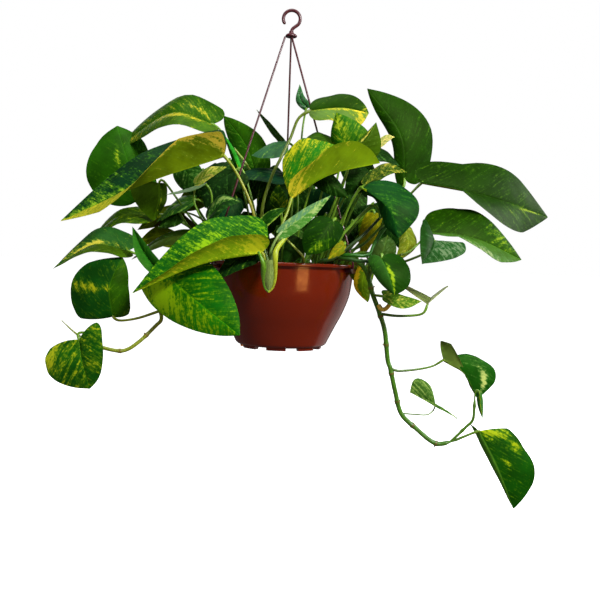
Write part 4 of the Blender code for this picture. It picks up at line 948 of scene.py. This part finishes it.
WALL = 2.0
FOOT_OUTER = 55
FOOT_INNER = 45
FLOOR_BOTTOM = FOOT_BOTTOM + 4
RIM_DEPTH = 4.5
FEET = 8
FIRST_NOTCH = 16          # azimuth of a gap between two feet, degrees
NOTCH_WIDTH = 17
DRAIN_RADIUS = 4
DRAIN_CIRCLE = 34
BOWL_SIDES = 160
DRAINS = 6
FIRST_DRAIN = 50          # azimuth, degrees
OUTER_WALL = [(94.5, -7.5), (93.9, -15), (92.5, -28), (89.5, -45), (81.5, -66), (73.4, -82), (65.5, -98)]


def arc(centre, radius, start, end, steps):
    """Points of an arc in (radius, height), angles in degrees."""
    angles = np.radians(np.linspace(start, end, steps))
    return [(centre[0] + radius * math.cos(a), centre[1] + radius * math.sin(a)) for a in angles]


def turned(profile, sides):
    """A closed profile of (radius, height) turned round the bowl's axis."""
    mesh = bmesh.new()
    points = [mesh.verts.new((radius, 0, height)) for radius, height in profile]
    edges = [mesh.edges.new((a, b)) for a, b in zip(points, points[1:] + points[:1])]
    bmesh.ops.spin(mesh, geom=points + edges, cent=(0, 0, 0), axis=(0, 0, 1), angle=2 * math.pi,
                   steps=sides, use_duplicate=False)
    bmesh.ops.remove_doubles(mesh, verts=mesh.verts, dist=0.01)
    bmesh.ops.recalc_face_normals(mesh, faces=mesh.faces)
    return mesh


def piece_from(name, mesh, materials, stands_for=(), smooth_angle=35):
    """A visible piece from a bmesh in millimetres."""
    mesh.verts.index_update()
    points = [vert.co[:] for vert in mesh.verts]
    faces = [[vert.index for vert in face.verts] for face in mesh.faces]
    face_material = [face.material_index for face in mesh.faces]
    mesh.free()
    return add_piece(name, points, faces, materials, stands_for, face_material,
                     smooth_angle=smooth_angle)


def add_shell(mesh, points, faces):
    """Points and faces put into a bmesh."""
    verts = [mesh.verts.new(point) for point in points]
    for face in faces:
        mesh.faces.new([verts[i] for i in face])


def turned_block(mesh, size, centre, turn):
    """A block put into a bmesh and turned round the bowl's axis; its vertices."""
    verts = bmesh.ops.create_cube(mesh, size=1)["verts"]
    bmesh.ops.scale(mesh, vec=size, verts=verts)
    bmesh.ops.translate(mesh, vec=centre, verts=verts)
    bmesh.ops.rotate(mesh, cent=(0, 0, 0), matrix=Matrix.Rotation(turn, 3, "Z"), verts=verts)
    return verts


def bowl_profile():
    """The bowl's section as (radius, height): lip, wall outside, foot, floor and wall inside."""
    wall = [tuple(point) for point in smooth_curve(OUTER_WALL, 34)]
    corner = arc((54.5, FLOOR_BOTTOM + 8), 8, -27, -84, 9)
    foot = [(FOOT_OUTER, FLOOR_BOTTOM), (FOOT_OUTER - 0.6, FOOT_BOTTOM + 0.5),
            (FOOT_OUTER - 1.1, FOOT_BOTTOM), (FOOT_INNER + 1.1, FOOT_BOTTOM),
            (FOOT_INNER + 0.6, FOOT_BOTTOM + 0.5), (FOOT_INNER, FLOOR_BOTTOM)]
    inside = [(radius - WALL, height) for radius, height in reversed(wall)]
    top = arc((RIM_RADIUS - 1.6, -1.6), 1.6, 90, 0, 6)
    under = arc((RIM_RADIUS - 1.3, -RIM_DEPTH + 0.9), 0.9, 0, -90, 4)
    lip = [(RIM_RADIUS - 7.6, -1.6), (RIM_RADIUS - 6.6, -0.4), (RIM_RADIUS - 5.4, 0)] + top + under
    lip += [(RIM_RADIUS - 2.6, -RIM_DEPTH + 2.5), (OUTER_WALL[0][0] + 0.4, -RIM_DEPTH + 2.5)]
    floor = [(0.0, FLOOR_BOTTOM + WALL), (52.5, FLOOR_BOTTOM + WALL), (57.5, FLOOR_BOTTOM + 5)]
    return lip + wall + corner + foot + [(0.0, FLOOR_BOTTOM)] + floor + inside


def notch(turn):
    mesh = bmesh.new()
    turned_block(mesh, (2.4 * FOOT_OUTER, NOTCH_WIDTH, 6), (0, 0, FLOOR_BOTTOM - 3.4), turn)
    return mesh


def drain_hole(turn):
    mesh = bmesh.new()
    bmesh.ops.create_cone(mesh, cap_ends=True, segments=24, radius1=DRAIN_RADIUS, radius2=DRAIN_RADIUS,
                          depth=12)
    centre = (DRAIN_CIRCLE * math.cos(turn), DRAIN_CIRCLE * math.sin(turn), FLOOR_BOTTOM)
    bmesh.ops.translate(mesh, vec=centre, verts=mesh.verts)
    return mesh


def cut_away(piece, cutters):
    """Cuts bmesh tools, in millimetres, out of a piece, and leaves no modifier on it."""
    made = []
    for number, mesh in enumerate(cutters):
        data = bpy.data.meshes.new(f"cutter_{number}")
        bmesh.ops.scale(mesh, vec=(MM, MM, MM), verts=mesh.verts)
        bmesh.ops.translate(mesh, vec=(0, 0, RIM_Z), verts=mesh.verts)
        mesh.to_mesh(data)
        mesh.free()
        cutter = new_object(f"cutter_{number}", data)
        made.append(cutter)
        cut = piece.modifiers.new(f"cut_{number}", "BOOLEAN")
        cut.object = cutter
        cut.operation = "DIFFERENCE"
        cut.solver = "EXACT"
    bpy.context.view_layer.update()
    result = bpy.data.meshes.new_from_object(piece.evaluated_get(bpy.context.evaluated_depsgraph_get()))
    piece.modifiers.clear()
    piece.data = result
    for cutter in made:
        bpy.data.objects.remove(cutter)


def add_bowl():
    bowl = piece_from("bowl_fine", turned(bowl_profile(), BOWL_SIDES), [BOWL_MATERIAL],
                      ["bowl"])
    notches = [notch(math.radians(FIRST_NOTCH + 360 / FEET * k)) for k in range(FEET // 2)]
    drains = [drain_hole(math.radians(FIRST_DRAIN + 360 / DRAINS * k)) for k in range(DRAINS)]
    cut_away(bowl, notches + drains)


# ---- soil ----

SOIL_LUMPS = [(0.06, 2.2), (0.25, 1.4), (0.9, 0.9)]     # fineness and height
CHIPS = 260               # bark and perlite crumbs on the soil
PERLITE_EVERY = 7         # one crumb of so many is perlite


def soil_surface(mesh, top_radius):
    for vert in mesh.verts:
        if vert.co.z > SOIL - 0.01 and vert.co.xy.length < top_radius:
            vert.co.z += sum(noise.noise(vert.co * fineness) * height for fineness, height in SOIL_LUMPS)


def add_chips(mesh, top_radius, rng):
    for k in range(CHIPS):
        turn, reach = rng.uniform(0, 2 * math.pi), top_radius * math.sqrt(rng.uniform(0, 0.96))
        size = rng.uniform(0.8, 2.6)
        flat = rng.uniform(0.35, 0.9)
        spin = Matrix.Rotation(rng.uniform(0, 6.28), 4, "Z") @ Matrix.Rotation(rng.uniform(-0.5, 0.5), 4, "X")
        height = SOIL + rng.uniform(0, 0.9)
        place = Matrix.Translation((reach * math.cos(turn), reach * math.sin(turn), height))
        shape = Matrix.Diagonal((size * rng.uniform(0.7, 1.7), size, size * flat, 1))
        made = bmesh.ops.create_icosphere(mesh, subdivisions=1, radius=1, matrix=place @ spin @ shape)
        material = 2 if k % PERLITE_EVERY == 0 else 1
        for vert in made["verts"]:
            vert.co += Vector([rng.uniform(-0.25, 0.25) for _ in range(3)])
            for face in vert.link_faces:
                face.material_index = material


def add_soil():
    clear = WALL + 0.8
    side = [(radius - clear, height) for radius, height in OUTER_WALL[2:]]
    top_radius = OUTER_WALL[1][0] - clear
    top = [(radius, SOIL) for radius in np.linspace(0, top_radius, 56)]
    bottom = [(57, FLOOR_BOTTOM + 6), (52, FLOOR_BOTTOM + WALL + 0.3), (0.0, FLOOR_BOTTOM + WALL + 0.3)]
    mesh = turned(top + side + bottom, 128)
    soil_surface(mesh, top_radius - 0.5)
    add_chips(mesh, top_radius - 3, np.random.default_rng(11))
    piece_from("soil_fine", mesh, [SOIL_MATERIAL, BARK_MATERIAL, PERLITE_MATERIAL], ["soil"],
               smooth_angle=60)


# ---- hanger ----

HOOK_WIRE = 2.2
HOOK_BEND = 9
HUB_RADIUS = 8
HUB_BOTTOM = 300
HUB_TOP = 306
STRAND_WIRE = 1.3
STRAND_AZIMUTHS = {"strand_front_left": 206, "strand_front_right": 330, "strand_back": 90}
FRONT_SHIFT = -3.5        # of the two front strands on the hub
CLIP_WIDTH = 15
CLIP_BOTTOM = -11.5
CLIP_TOP = -5.5
HOOK_POINTS = 90
STRAND_POINTS = 60


def add_hook():
    """The hub, turned, and the hook above it."""
    mesh = turned([(0, HUB_BOTTOM), (HUB_RADIUS - 1, HUB_BOTTOM), (HUB_RADIUS - 0.2, HUB_BOTTOM + 0.6),
                   (HUB_RADIUS - 0.2, HUB_BOTTOM + 2), (HUB_RADIUS - 1.4, HUB_BOTTOM + 3.4),
                   (4.4, HUB_TOP - 1.6), (3.2, HUB_TOP - 0.6), (2.9, HUB_TOP + 1.5), (0, HUB_TOP + 1.5)], 48)
    centre = HOOK_SEAT - HOOK_BEND
    radius = HOOK_BEND + HOOK_WIRE
    bend = [(radius * math.cos(a), 0, centre + radius * math.sin(a))
            for a in np.radians(np.arange(-40, 221, 20))]
    shank = [(0, 0, HUB_TOP - 2), (0, 0, HUB_TOP + 1), (2.0, 0, centre - radius - 1.4)]
    path = smooth_curve(shank + bend, HOOK_POINTS)
    radii = np.full(HOOK_POINTS, HOOK_WIRE)
    radii[-4:] = HOOK_WIRE * np.array([0.98, 0.92, 0.75, 0.4])
    points, faces = tube(path, radii, (0, 1, 0), sides=20)
    add_shell(mesh, points, faces)
    piece_from("hanger_hook_fine", mesh, [HANGER_MATERIAL], ["hanger_hook"])


def add_strand(name, azimuth):
    """A straight strand with its moulded snap under the bowl's rim."""
    outward, across = compass(azimuth)
    reach = RIM_RADIUS + 1.35 + 0.7       # half the strand, and its distance from the rim
    low = outward * reach + [0, 0, 4]
    shift = FRONT_SHIFT if outward[1] < 0 else 0.0
    top = outward * (HUB_RADIUS - 3) + [shift, 0, HUB_BOTTOM - 0.3]
    end = outward * reach + [0, 0, CLIP_TOP - 0.5]
    path = smooth_curve([top, top + (low - top) * 0.4, top + (low - top) * 0.8, low, end], STRAND_POINTS)
    points, faces = tube(path, np.full(STRAND_POINTS, STRAND_WIRE), across, sides=14)
    mesh = bmesh.new()
    add_shell(mesh, points, faces)
    add_snap(mesh, reach, azimuth)
    piece_from(name + "_fine", mesh, [HANGER_MATERIAL], [name])


def add_snap(mesh, reach, azimuth):
    """A rounded block under the rim, with a thumb tab below its outer end."""
    inner, outer = OUTER_WALL[0][0] + 0.8, reach + 1.9
    for low, high, width, near, far in ((CLIP_BOTTOM + 1.5, CLIP_TOP, CLIP_WIDTH, inner, outer),
                                        (CLIP_BOTTOM, CLIP_BOTTOM + 2.5, CLIP_WIDTH - 5, outer - 3.5, outer)):
        size, centre = (far - near, width, high - low), ((near + far) / 2, 0, (low + high) / 2)
        block = turned_block(mesh, size, centre, math.radians(azimuth))
        edges = list({edge for vert in block for edge in vert.link_edges})
        bmesh.ops.bevel(mesh, geom=edges, offset=0.8, segments=3, affect="EDGES", profile=0.5)


# ---- materials ----


def new_material(name):
    material = bpy.data.materials.new(name)
    material.use_nodes = True
    tree = material.node_tree
    return material, tree, tree.nodes["Principled BSDF"]


def feed(to_node, inputs):
    """Sets a node's inputs: plain values, or sockets to link from."""
    for key, value in inputs.items():
        socket = to_node.inputs[key]
        if isinstance(value, bpy.types.NodeSocket):
            to_node.id_data.links.new(value, socket)
        else:
            socket.default_value = value


def node(tree, kind, inputs=None, **settings):
    made = tree.nodes.new("ShaderNode" + kind)
    for key, value in settings.items():
        setattr(made, key, value)
    feed(made, inputs or {})
    return made


def maths(tree, operation, first, second=0.0):
    return node(tree, "Math", {0: first, 1: second}, operation=operation).outputs[0]


def ramp(tree, value, low, high, start=0.0, end=1.0):
    """value from low to high, eased to start..end."""
    made = node(tree, "MapRange", {"Value": value, "From Min": low, "From Max": high, "To Min": start,
                                   "To Max": end}, interpolation_type="SMOOTHSTEP")
    return made.outputs["Result"]


def blend_colour(tree, share, first, second, blend="MIX"):
    made = node(tree, "Mix", {0: share, 6: first, 7: second}, data_type="RGBA", blend_type=blend)
    return made.outputs[2]


def noise_value(tree, vector, scale, detail=3.0, roughness=0.55):
    made = node(tree, "TexNoise", {"Vector": vector, "Scale": scale, "Detail": detail,
                                   "Roughness": roughness})
    return made.outputs["Fac"]


def attribute(tree, name, output):
    return node(tree, "Attribute", attribute_name=name).outputs[output]


def object_place(tree):
    return node(tree, "TexCoord").outputs["Object"]


def bump(tree, shader, height, strength, distance):
    made = node(tree, "Bump", {"Height": height, "Strength": strength, "Distance": distance})
    feed(shader, {"Normal": made.outputs["Normal"]})


LIGHT_THROUGH = 0.16      # share of a blade that lets light through


def leaf_material():
    """Living leaf: flecks drawn out along the side veins, pale midrib, waxy top and duller underside."""
    material, tree, shader = new_material("leaf_living")
    streak = attribute(tree, "streak", "Vector")
    upper = attribute(tree, "upper", "Fac")
    # flecks, from noise drawn out along the side veins, and the haze round them
    drawn_out = node(tree, "VectorMath", {0: streak, 1: (1.9, 0.42, 5.0)}, operation="MULTIPLY").outputs[0]
    coarse = noise_value(tree, drawn_out, 1.0, 4.0, 0.6)
    fine = noise_value(tree, drawn_out, 3.7, 3.0, 0.6)
    speckle = noise_value(tree, object_place(tree), 300.0, 3.0, 0.6)
    level = maths(tree, "ADD", maths(tree, "MULTIPLY", coarse, 0.45), maths(tree, "MULTIPLY", fine, 0.25))
    level = maths(tree, "ADD", level, maths(tree, "MULTIPLY", speckle, 0.3))
    level = maths(tree, "ADD", level, attribute(tree, "cover", "Fac"))
    flecks = ramp(tree, level, 0.46, 0.56)
    haze = ramp(tree, level, 0.37, 0.5, 0.0, 0.55)
    tone = attribute(tree, "tone", "Color")
    marks = attribute(tree, "marks", "Color")
    cloudy = noise_value(tree, object_place(tree), 38.0, 4.0)
    shade = ramp(tree, cloudy, 0.3, 0.7, 0.74, 1.26)
    tone = node(tree, "VectorMath", {0: tone, "Scale": shade}, operation="SCALE").outputs[0]
    between = blend_colour(tree, 1.0, marks, (0.24, 0.55, 0.3, 1), "MULTIPLY")
    colour = blend_colour(tree, haze, tone, between)
    colour = blend_colour(tree, flecks, colour, marks)
    # paler side veins and midrib
    parts = node(tree, "SeparateXYZ", {0: streak})
    vein = maths(tree, "PINGPONG", parts.outputs[0], 0.45)
    vein = ramp(tree, vein, 0.0, 0.07, 1.0, 0.0)
    midrib = ramp(tree, parts.outputs[1], 0.03, 0.13, 1.0, 0.0)
    paler = blend_colour(tree, 1.0, colour, (1.7, 1.6, 1.25, 1), "MULTIPLY")
    lines = maths(tree, "MAXIMUM", maths(tree, "MULTIPLY", vein, 0.16), maths(tree, "MULTIPLY", midrib, 0.6))
    colour = blend_colour(tree, lines, colour, paler)
    # waxy gloss
    feed(shader, {"Base Color": colour, "Specular IOR Level": 0.1, "Specular Tint": (0.7, 1, 0.3, 1)})
    grain = noise_value(tree, object_place(tree), 900.0, 2.0)
    rough = maths(tree, "ADD", maths(tree, "MULTIPLY", grain, 0.12), ramp(tree, upper, 0.0, 1.0, 0.52, 0.44))
    feed(shader, {"Roughness": rough})
    height = maths(tree, "ADD", maths(tree, "MULTIPLY", grain, 0.35), maths(tree, "MULTIPLY", lines, -0.8))
    bump(tree, shader, height, 0.35, 0.0006)
    # light that comes through
    glow = blend_colour(tree, 1.0, colour, (1.3, 1.4, 0.5, 1), "MULTIPLY")
    through = node(tree, "BsdfTranslucent", {"Color": glow})
    mixed = node(tree, "MixShader", {0: LIGHT_THROUGH, 1: shader.outputs[0], 2: through.outputs[0]})
    feed(tree.nodes["Material Output"], {"Surface": mixed.outputs[0]})
    return material


def stem_material():
    material, tree, shader = new_material("stem_living")
    place = object_place(tree)
    drawn_out = node(tree, "VectorMath", {0: place, 1: (900, 900, 120)}, operation="MULTIPLY").outputs[0]
    streaks = noise_value(tree, drawn_out, 1.0, 3.0)
    shade = ramp(tree, streaks, 0.3, 0.7, 0.7, 1.25)
    tone = node(tree, "VectorMath", {0: attribute(tree, "tone", "Color"), "Scale": shade},
                operation="SCALE").outputs[0]
    feed(shader, {"Base Color": tone, "Roughness": ramp(tree, streaks, 0.2, 0.8, 0.3, 0.5)})
    bump(tree, shader, streaks, 0.3, 0.0004)
    return material


def plastic_material(name, colour, roughness, coat):
    """Moulded plastic: faint clouds in the colour, a slight orange peel and handling haze in the gloss."""
    material, tree, shader = new_material(name)
    place = object_place(tree)
    clouds = noise_value(tree, place, 18.0, 5.0)
    base = (*linear(colour), 1)
    darker = (*(linear(colour) * 0.8), 1)
    feed(shader, {"Base Color": blend_colour(tree, clouds, darker, base)})
    peel = noise_value(tree, place, 260.0, 2.0)
    scuffs = noise_value(tree, place, 70.0, 6.0, 0.7)
    feed(shader, {"Roughness": ramp(tree, scuffs, 0.35, 0.75, roughness, roughness + 0.14),
                  "Coat Weight": coat, "Coat Roughness": 0.08})
    bump(tree, shader, peel, 0.12, 0.0004)
    return material


def crumb_material(name, dark, light, scale):
    material, tree, shader = new_material(name)
    grains = noise_value(tree, object_place(tree), scale, 6.0, 0.7)
    colour = blend_colour(tree, ramp(tree, grains, 0.35, 0.7), (*linear(dark), 1), (*linear(light), 1))
    feed(shader, {"Base Color": colour, "Roughness": 0.93})
    bump(tree, shader, grains, 0.8, 0.002)
    return material


LEAF_MATERIAL = leaf_material()
STEM_MATERIAL = stem_material()
BOWL_MATERIAL = plastic_material("bowl_moulded", (110, 29, 4), 0.14, 0.2)
HANGER_MATERIAL = plastic_material("hanger_moulded", (74, 16, 26), 0.3, 0.1)
SOIL_MATERIAL = crumb_material("soil_damp", (26, 18, 12), (64, 46, 32), 420.0)
BARK_MATERIAL = crumb_material("soil_bark", (62, 40, 24), (112, 78, 50), 600.0)
PERLITE_MATERIAL = crumb_material("soil_perlite", (190, 186, 176), (236, 234, 228), 700.0)


# ---- the leaves that are given by short plans ----


def inner_leaf(number, base, mid, tip, left, back, arch, foot):
    """A leaf in the plant's shade, whose two halves reach opposite ways."""
    return grow([base, mid, tip], left, (-left[0], back, -left[2]), [arch, (*foot, SOIL)],
                top=INNER_TONES[number % len(INNER_TONES)], cover=0.03 + 0.06 * (number % 3))


def rear_leaf(number, azimuth, ring, height, reach, drop, half_width, foot_ring=52):
    """A leaf on an arching stalk that points away from the bowl's axis."""
    out, along = compass(azimuth)
    base = out * ring + [0, 0, height]
    tip = out * (ring + reach) + [0, 0, height - drop]
    mid = (base + tip) / 2 + out * 0.08 * reach + [0, 0, 0.12 * (reach + drop)]
    lean = np.array([0, 0, -0.3 * half_width])
    foot = out * foot_ring
    arch = out * (ring * 0.8) + [0, 0, max(height * 0.6, 14)]
    return grow([base, mid, tip], along * half_width + lean, -along * half_width + lean,
                [arch, (foot[0], foot[1], SOIL)], top=REAR_TONES[number % len(REAR_TONES)], marks=GOLD,
                cover=0.06 + 0.06 * (number % 4))


def lettered(kind, make, plans):
    """Leaves made from their plans and named with letters, from a on."""
    return {f"leaf_{kind}_{letter}": make(number, *plan)
            for number, (letter, plan) in enumerate(zip(ascii_lowercase, plans))}


# ---- surroundings ----

CAMERA_DISTANCE = 1.1
CAMERA_LENS = 48.85       # millimetres
CAMERA_YAW = 1.25         # degrees to the right
CAMERA_PITCH = -2.6
CAMERA_ROLL = 2.0
SENSOR_WIDTH = 36
LAMP_TARGET = 0.05        # above the bowl's rim
# name, place from the target, size, power, and colour and height where they aren't the usual
LIGHTS = [
    ("key", (0.75, -1.25, 0.85), 0.35, 33),
    ("side", (1.3, 0.1, 0.35), 0.7, 12),
    ("top", (-0.2, -0.3, 1.4), 1.0, 14),
    ("back", (-0.4, 1.5, 0.6), 1.2, 7),
    ("glow_front", (0.76, -1.27, -0.38), 0.45, 3, (1, 0.38, 0.09), 0.25),
    ("glow_right", (0.8, 0.73, -0.52), 1.0, 1.1, (1, 0.8, 0.75)),
]
WORLD_LIGHT = 0.26        # strength of the white surroundings on the plant
WORLD_MIRRORED = 0.07     # and in its gloss
FLOOR_DROP = 0.03         # below the lowest leaf
WHITE = (1, 1, 1, 1)


def add_camera():
    yaw, pitch, roll = [math.radians(a) for a in (CAMERA_YAW, CAMERA_PITCH, CAMERA_ROLL)]
    forward = Vector((math.sin(yaw) * math.cos(pitch), math.cos(yaw) * math.cos(pitch), math.sin(pitch)))
    level = Vector((math.cos(yaw), -math.sin(yaw), 0))
    right = level * math.cos(roll) + level.cross(forward) * math.sin(roll)
    up = right.cross(forward)
    camera = new_object("camera", bpy.data.cameras.new("camera"))
    camera.data.lens = CAMERA_LENS
    camera.data.sensor_width = SENSOR_WIDTH
    turn = Matrix((right, up, -forward)).transposed().to_4x4()
    camera.matrix_world = Matrix.Translation((0, -CAMERA_DISTANCE, RIM_Z)) @ turn
    bpy.context.scene.camera = camera


def add_light(name, place, size, power, colour=(1, 1, 1), height=None):
    """A lamp that faces the plant: a disk, or a rectangle if it has a height."""
    light = bpy.data.lights.new(name, "AREA")
    light.shape = "RECTANGLE" if height else "DISK"
    light.size = size
    if height:
        light.size_y = height
    light.energy = power
    light.color = colour
    lamp = new_object(name, light)
    lamp.location = Vector((0, 0, RIM_Z + LAMP_TARGET)) + Vector(place)
    lamp.rotation_euler = (-Vector(place)).to_track_quat("-Z", "Y").to_euler()


def add_world():
    """White surroundings: full to the eye, dimmer as light, and faint in the plant's gloss."""
    world = bpy.data.worlds.new("studio")
    bpy.context.scene.world = world
    world.use_nodes = True
    tree = world.node_tree
    seen = tree.nodes["Background"]
    feed(seen, {"Color": WHITE, "Strength": 1.0})
    dim = node(tree, "Background", {"Color": WHITE, "Strength": WORLD_LIGHT})
    mirrored = node(tree, "Background", {"Color": WHITE, "Strength": WORLD_MIRRORED})
    path = node(tree, "LightPath")
    unseen = node(tree, "MixShader", {0: path.outputs["Is Glossy Ray"], 1: dim.outputs[0],
                                      2: mirrored.outputs[0]})
    mixed = node(tree, "MixShader", {0: path.outputs["Is Camera Ray"], 1: unseen.outputs[0],
                                     2: seen.outputs[0]})
    feed(tree.nodes["World Output"], {"Surface": mixed.outputs[0]})


def add_floor():
    mesh = bmesh.new()
    bmesh.ops.create_circle(mesh, cap_ends=True, segments=96, radius=60)
    data = bpy.data.meshes.new("floor")
    mesh.to_mesh(data)
    mesh.free()
    material, _, shader = new_material("floor_pale")
    feed(shader, {"Base Color": (0.86, 0.86, 0.85, 1), "Roughness": 0.9, "Emission Color": WHITE,
                  "Emission Strength": 1.0})
    data.materials.append(material)
    floor = new_object("floor", data)
    floor.location = (0, 0, LOWEST - FLOOR_DROP)
    for ray in ("glossy", "diffuse", "transmission"):
        setattr(floor, "visible_" + ray, False)


SEED_STEP = 1.73          # between the seeds of one kind's leaves


def add_plant():
    for first_seed, leaves in ((1.0, LEAVES), (90.0, SMALL_LEAVES),
                               (150.0, lettered("inner", inner_leaf, INNER_LEAVES)),
                               (120.0, lettered("rear", rear_leaf, REAR_LEAVES))):
        for number, (name, leaf) in enumerate(leaves.items()):
            add_leaf(name, leaf, first_seed + number * SEED_STEP, [name] if leaves is LEAVES else [])
    for name in VINES:
        add_vine(name)
    for name, (radius, colour, route) in STALKS.items():
        add_plain_stalk(name, radius, colour, route)
    add_sheath()


def main():
    add_camera()
    add_world()
    for light in LIGHTS:
        add_light(*light)
    add_floor()
    add_bowl()
    add_soil()
    add_hook()
    for name, azimuth in STRAND_AZIMUTHS.items():
        add_strand(name, azimuth)
    add_plant()
    bpy.context.scene.view_settings.view_transform = "Standard"


main()
bpy.context.view_layer.update()
